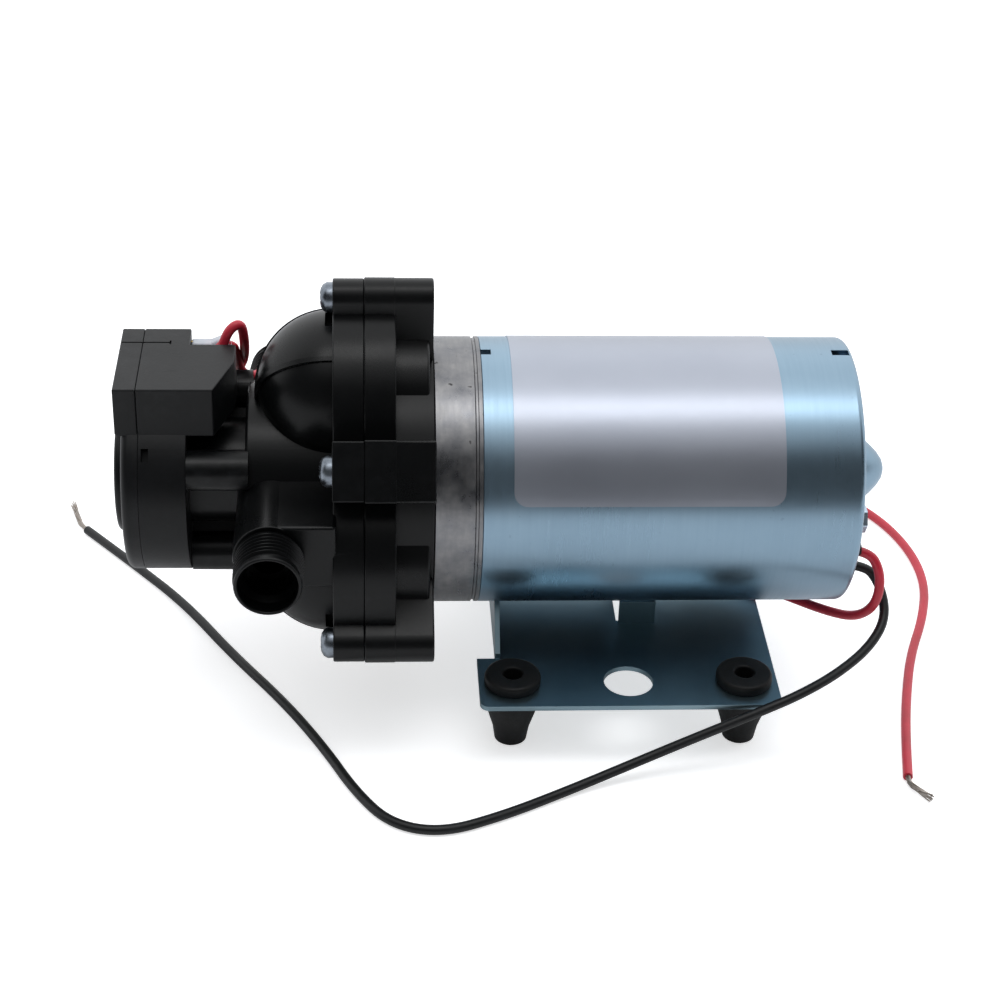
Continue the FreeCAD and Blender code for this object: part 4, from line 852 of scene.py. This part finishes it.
def bladePlaces():
    return [switch["bladeCentre"] + side * switch["bladePitch"] / 2 for side in (-1, 1)]


def topGroove(x1):
    s = switch
    return block(s["boxFront"] - 1, x1, s["grooveY"] - 0.3, s["grooveY"] + 0.3, boxHigh - 0.7, boxHigh + 1)


def makeSwitchBody():
    s, f, wall = switch, front, switch["boxWall"]
    rear = f["neckFront"]
    cup = rounded(rod(s["split"], rear, s["radius"]), 0.35)
    body = join(cup, rounded(planPrism(boxPlan(), boxLow, boxHigh), s["boxEdge"], 3))
    notches = [block(x - 0.25, x + 0.25, s["grooveY"] - 1.1, s["grooveY"] + 1.1, boxHigh - 0.6, boxHigh + 1)
               for x in s["notchAt"]]
    x, degrees, wide, tall = s["window"]
    window = arm(x - wide / 2, x + wide / 2, tall / 2, s["radius"] - 2.4, s["radius"] + 1, degrees)
    tools = [planPrism(boxPlan(wall), boxLow + wall, boxHigh - wall),
             rod(s["split"] - 1, s["rearWall"], s["radius"] - s["wall"]),
             rod(s["rearWall"] - 1, rear + 1, s["plungerHole"]),
             rod(rear - 1.2, rear + 1, s["seat"]), topGroove(s["grooveEnd"]), *notches, window]
    tools += [block(s["boxBack"] - 3, s["boxBack"] + 1, y - 0.5, y + 0.5,
                    axisUp + s["bladeLow"] - 0.1, axisUp + s["bladeHigh"] + 0.1) for y in bladePlaces()]
    tools += [rod(s["split"] - 1, rear + 1, s["screwHole"], f["bossRing"], a) for a in f["screwAngles"]]
    finishPiece("switchBody", cut(body, *tools), "switch_plastic", "switch_body")


def makeSwitchCover():
    s, f, wall = switch, front, switch["boxWall"]
    x0, back = s["coverFront"], s["split"] + 1
    corner = reversed(roundCorner(x0, s["radius"], s["coverEdge"], -1))
    disc = spun([(x0, 0), *corner, (s["split"], s["radius"]), (s["split"], 0)], 128)
    boss = rounded(rod(s["bossFront"], x0 + 1, s["boss"]), s["bossEdge"], 4)
    lid = block(s["boxFront"], s["split"], -s["half"], s["half"], boxLow, boxHigh)
    cover = join(disc, boss, rounded(lid, s["boxEdge"], 3))
    hollow = [rod(x0 + s["wall"], back, s["radius"] - s["wall"]),
              block(s["boxFront"] + wall, back, wall - s["half"], s["half"] - wall,
                    boxLow + wall, boxHigh - wall),
              rod(s["bossFront"] + 2.4, back, s["setRoom"]),
              rod(s["bossFront"] - 1, s["bossFront"] + 3, s["setScrew"]), topGroove(back),
              block(s["boxFront"] - 0.5, s["boxFront"] + 0.6, -s["half"] - 1, -s["half"] + 2.4,
                    boxLow - 1, boxLow + 0.7)]
    hollow += [rod(x0 - 1, back, s["screwHole"], f["bossRing"], a) for a in f["screwAngles"]]
    hollow += [rod(x0 - 0.02, x0 + s["sink"], s["screwHead"] + 0.15, f["bossRing"], a, tip=s["screwHole"])
               for a in f["screwAngles"]]
    finishPiece("switchCover", cut(cover, *hollow), "switch_plastic", "switch_cover")


def makeSwitchScrews():
    # countersunk, nearly flush with the cover
    s, x0 = switch, switch["coverFront"]
    profile = [(s["screwTip"], 0), (s["screwTip"], s["screw"]), (x0 + s["sink"], s["screw"]),
               (x0 + 0.25, s["screwHead"]), (x0 + 0.1, s["screwHead"] - 0.2), (x0 + 0.1, 0)]
    first, each = s["turned"]
    screws, crosses = [], []
    for i, a in enumerate(front["screwAngles"]):
        screws.append(spun(profile, 40, front["bossRing"], a))
        crosses += crossRecess(x0 + 0.1, front["bossRing"], a, 1.4, s["screwHead"], first + each * i)
    finishPiece("switchScrews", cut(beside(*screws), join(*crosses)), "steel_screw", "switch_screws",
                smooth=38)


makeSwitchBody()
makeSwitchCover()
makeSwitchScrews()


boot = {"front": -123.75, "neck": -117.6, "low": -2.4, "high": 2.0, "half": 1.9, "end": -112.6,
        "lean": -24.0, "throat": 2.1, "wire": 1.42}


def makeBoots():
    s, b = switch, boot
    boots = []
    middle = axisUp + (s["bladeLow"] + s["bladeHigh"]) / 2
    for y in bladePlaces():
        sleeve = block(b["front"], b["neck"], y - b["half"], y + b["half"],
                       middle + b["low"], middle + b["high"])
        throat = rounded(block(b["neck"] - 2, b["end"], y - b["half"] + 0.1, y + b["half"] - 0.1,
                               middle - b["throat"], middle + b["throat"]), 0.8, 3)
        pivot = Vector((b["neck"], y, middle)) * mm
        lean = Matrix.Translation(pivot) @ Matrix.Rotation(math.radians(b["lean"]), 4, "Y")
        bmesh.ops.transform(throat, verts=throat.verts, matrix=lean @ Matrix.Translation(-pivot))
        hole = cone(lean @ Matrix.Translation(Vector((2, 0, 0)) * mm) @ alongX, b["wire"], b["wire"], 9)
        blade = block(s["boxBack"], b["neck"] - 2.6, y - 0.45, y + 0.45, axisUp + s["bladeLow"] - 0.05,
                      axisUp + s["bladeHigh"] + 0.05)
        boots.append(cut(join(rounded(sleeve, 0.7, 3), throat), blade, hole))
    finishPiece("terminalBoots", beside(*boots), "boot_plastic", "terminal_boots")


makeBoots()


def makeSpring():
    # the pressure spring, copied from the frame's spring mesh as it stands
    coil = bmesh.new()
    coil.from_mesh(frame["nodes"]["switch_spring"].data)
    piece = finishPiece("switchSpring", coil, "spring_steel", "switch_spring", smooth=50)
    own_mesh(piece)


makeSpring()
print("pressure switch made")


# Base plate with its saddle, and the rubber feet
plate = {"halfLength": 42.6, "halfWidth": 54.9, "top": 19.5, "thick": 1.5, "corner": 2.6, "hole": 7.0,
         "notch": 5.2, "notchHalf": 31.8, "saddleHalf": 20.0, "saddleDrop": 30.0, "tabY": 13.8,
         "tabLength": 10.6, "lanced": 0.6, "tabTop": 27.0, "spacingX": 66.0, "spacingY": 86.4, "neck": 5.5,
         "edge": 0.3}


def footPlaces():
    return [(x * plate["spacingX"] / 2, y * plate["spacingY"] / 2) for x in (-1, 1) for y in (-1, 1)]


def makePlate():
    p = plate
    top, thick, half, wide = p["top"], p["thick"], p["halfLength"], p["halfWidth"]
    low, x0, notchHalf = top - thick, p["notch"] - half, p["notchHalf"]
    sheetMetal = planPrism([(-half, -wide), (half, -wide), (half, wide), (-half, wide), (-half, notchHalf),
                            (x0, notchHalf), (x0, -notchHalf), (-half, -notchHalf)], low, top)
    corners = [e for e in sheetMetal.edges if abs(e.verts[0].co.z - e.verts[1].co.z) > 0.0001
               and abs(abs(e.verts[0].co.y) - wide * mm) < 1e-6]
    bmesh.ops.bevel(sheetMetal, geom=corners, offset=p["corner"] * mm, offset_type="OFFSET", segments=8,
                    profile=0.5, affect="EDGES", material=-1)
    saddle = axisUp - p["saddleDrop"]
    web = sidePrism([(-notchHalf, low), (notchHalf, low), (notchHalf, top + thick),
                     (p["saddleHalf"], saddle), (-p["saddleHalf"], saddle), (-notchHalf, top + thick)],
                    x0, x0 + thick)
    tabs = [block(0, p["tabLength"], y - thick / 2, y + thick / 2, low, p["tabTop"])
            for y in (-p["tabY"], p["tabY"])]
    holes = [post(0, side * p["spacingY"] / 2, low - 1, top + 1, p["hole"]) for side in (-1, 1)]
    holes += [post(x, y, low - 1, top + 1, p["neck"] + 0.1) for x, y in footPlaces()]
    inner = p["tabY"] - thick / 2
    lanced = [block(-p["lanced"], p["tabLength"] + 0.2, y0, y1, low - 1, top + 0.01)
              for y0, y1 in ((-inner, -p["lanced"]), (p["lanced"], inner))]
    made = cut(join(sheetMetal, web, *tabs), *holes, rod(x0 - 1, 20, motor["radius"]), *lanced)
    finishPiece("basePlate", rounded(made, p["edge"], 2, 40), "plated_sheet", "base_plate")


makePlate()
print("base plate made")


foot = {"bore": 2.6, "flange": 8.0, "crown": 3.1, "neck": 5.5, "shoulder": 8.1, "tip": 4.6, "notch": 1.6,
        "notchReach": 5.4, "notchLow": 13.9}


def makeFeet():
    f, top, low = foot, plate["top"], plate["top"] - plate["thick"]
    crown, shoulder, rim, tip = top + f["crown"], f["shoulder"], f["flange"], f["tip"]
    profile = [(f["bore"], 0), (tip - 0.6, 0), (tip, 0.5), (tip + 0.7, 5.0), (tip + 2.1, 9.6),
               (shoulder - 0.5, 12.8), (shoulder, 14.6), (shoulder, low - 0.3), (shoulder - 0.3, low),
               (f["neck"], low), (f["neck"], top), (rim - 0.25, top), (rim, top + 0.3), (rim, crown - 1.1),
               (rim - 0.3, crown - 0.4), (rim - 1.0, crown - 0.05), (3.4, crown), (3.0, crown - 0.15),
               (f["bore"], crown - 0.6)]
    floor = f["notchLow"] + f["notch"]
    names = ("foot_head_near", "foot_head_far", "foot_motor_near", "foot_motor_far")
    for name, (x, y) in zip(names, footPlaces()):
        notches = []
        for across in (x - f["notchReach"], x + f["notchReach"]):
            notches += [crossRod(across, y - 9, y + 9, f["notch"], height=floor),
                        block(across - f["notch"], across + f["notch"], y - 9, y + 9, floor, low + 0.01)]
        finishPiece(name, cut(turnedUp(profile, x, y), *notches), "foot_rubber", name, smooth=45)


makeFeet()
print("feet made")


# Rating label, left bare
label = {"front": -34.0, "rear": 40.8, "low": 15.0, "span": 120.0, "under": 38.22, "thick": 0.2,
         "corner": 4.0, "strips": 80}


def makeLabel():
    l = label
    arc = math.radians(l["span"]) * l["under"]
    film = bmesh.new()
    middle = Matrix.Translation(Vector(((l["front"] + l["rear"]) / 2, arc / 2, 0)) * mm)
    size = Matrix.Diagonal(((l["rear"] - l["front"]) * mm, arc * mm, 1, 1))
    bmesh.ops.create_grid(film, x_segments=1, y_segments=1, size=0.5, matrix=middle @ size)
    bmesh.ops.bevel(film, geom=film.verts[:], offset=l["corner"] * mm, offset_type="OFFSET", segments=8,
                    profile=0.5, affect="VERTICES", material=-1)
    for step in range(1, l["strips"]):
        bmesh.ops.bisect_plane(film, geom=film.verts[:] + film.edges[:] + film.faces[:],
                               plane_co=(0, arc * mm * step / l["strips"], 0), plane_no=(0, 1, 0))
    bmesh.ops.solidify(film, geom=film.faces[:], thickness=-l["thick"] * mm)
    lowest = min(v.co.z for v in film.verts)
    for v in film.verts:  # rolled round the can
        angle = math.degrees(v.co.y / (l["under"] * mm)) + l["low"]
        v.co = axisPoint(v.co.x / mm, l["under"] + (v.co.z - lowest) / mm, angle)
    finishPiece("ratingLabel", film, "label_film", "rating_label", smooth=50)


makeLabel()
print("label made")


# Floor and light
# each sky is a list of heights, from 0 straight down to 1 straight up, and how bright it is there.
# The first sky is in front and the second behind, on either side of turnAt. glow is how bright the
# camera sees the floor, and dim how bright it is for everything else. Its sizes are in metres
studio = {"floor": ((244, 245, 247), (246, 247, 249)), "floorHalf": 6.0, "floorFront": 0.75, "glow": 0.6,
          "dim": 0.12, "backdrop": (254, 254, 254), "keyPower": 2.3, "keySize": (0.9, 0.32),
          "keyPlace": (0.0, -0.17, 1.15), "keyAim": (-0.04, 0, 0.05), "tint": (0.97, 0.985, 1),
          "turnAt": (-0.25, 0.15),
          "skies": (((0.0, 0.75), (0.425, 0.6), (0.46, 0.1), (0.83, 0.1), (0.93, 0.85), (1.0, 1.05)),
                    ((0.0, 0.75), (0.5, 1.0), (0.75, 1.4), (1.0, 1.2)))}


def makeFloor():
    s = studio
    ground = bmesh.new()
    bmesh.ops.create_grid(ground, x_segments=1, y_segments=1, size=s["floorHalf"])
    bmesh.ops.translate(ground, verts=ground.verts, vec=(0, s["floorHalf"] - s["floorFront"], 0))
    floor = bpy.data.objects.new("floor", asMesh(ground))
    scene.collection.objects.link(floor)
    pale = bpy.data.materials.new("pale floor")
    pale.use_nodes = True
    shader = pale.node_tree.nodes["Principled BSDF"]
    faint = spread(pale, noise(pale, 3, 3), 0.3, 0.7)
    wire(pale, mixed(pale, faint, *(paint(*tone) for tone in s["floor"])), "Base Color")
    seen = addNode(pale, "ShaderNodeLightPath").outputs["Is Camera Ray"]
    wire(pale, mixed(pale, seen, (s["dim"],) * 3 + (1,), (s["glow"],) * 3 + (1,)), "Emission Color")
    shader.inputs["Emission Strength"].default_value = 1.0
    shader.inputs["Roughness"].default_value = 0.9
    shader.inputs["Specular IOR Level"].default_value = 0.1
    floor.data.materials.append(pale)


def makeKeyLight():
    key = bpy.data.lights.new("key", "AREA")
    key.shape, key.energy = "RECTANGLE", studio["keyPower"]
    key.size, key.size_y = studio["keySize"]
    lamp = bpy.data.objects.new("key", key)
    place, aim = Vector(studio["keyPlace"]), Vector(studio["keyAim"])
    facing = (aim - place).to_track_quat("-Z", "Y").to_matrix().to_4x4()
    lamp.matrix_world = Matrix.Translation(place) @ facing
    scene.collection.objects.link(lamp)


def makeWorld():
    world = bpy.data.worlds.new("studio")
    world.use_nodes = True
    scene.world = world
    heading = addNode(world, "ShaderNodeTexCoord").outputs["Generated"]
    parts = addNode(world, "ShaderNodeSeparateXYZ", {"Vector": heading}).outputs
    height = spread(world, parts["Z"], -1, 1)
    skies = []
    for stops in studio["skies"]:
        ramp = addNode(world, "ShaderNodeValToRGB", {"Fac": height})
        while len(ramp.color_ramp.elements) < len(stops):
            ramp.color_ramp.elements.new(0.5)
        for element, (spot, level) in zip(ramp.color_ramp.elements, stops):
            element.position = spot
            element.color = (*(level * c for c in studio["tint"]), 1)
        skies.append(ramp.outputs["Color"])
    low, high = studio["turnAt"]
    side = addNode(world, "ShaderNodeMapRange", {"Value": parts["Y"], "From Min": low, "From Max": high},
                   interpolation_type="SMOOTHSTEP").outputs["Result"]
    around = mixed(world, side, *skies)
    seen = addNode(world, "ShaderNodeLightPath").outputs["Is Camera Ray"]
    backdrop = mixed(world, seen, around, paint(*studio["backdrop"]))  # what the camera sees is plain
    background = world.node_tree.nodes["Background"]
    background.inputs["Strength"].default_value = 1.0
    world.node_tree.links.new(backdrop, background.inputs["Color"])


makeFloor()
makeKeyLight()
makeWorld()
scene.view_settings.view_transform = "Standard"
print("studio lit")
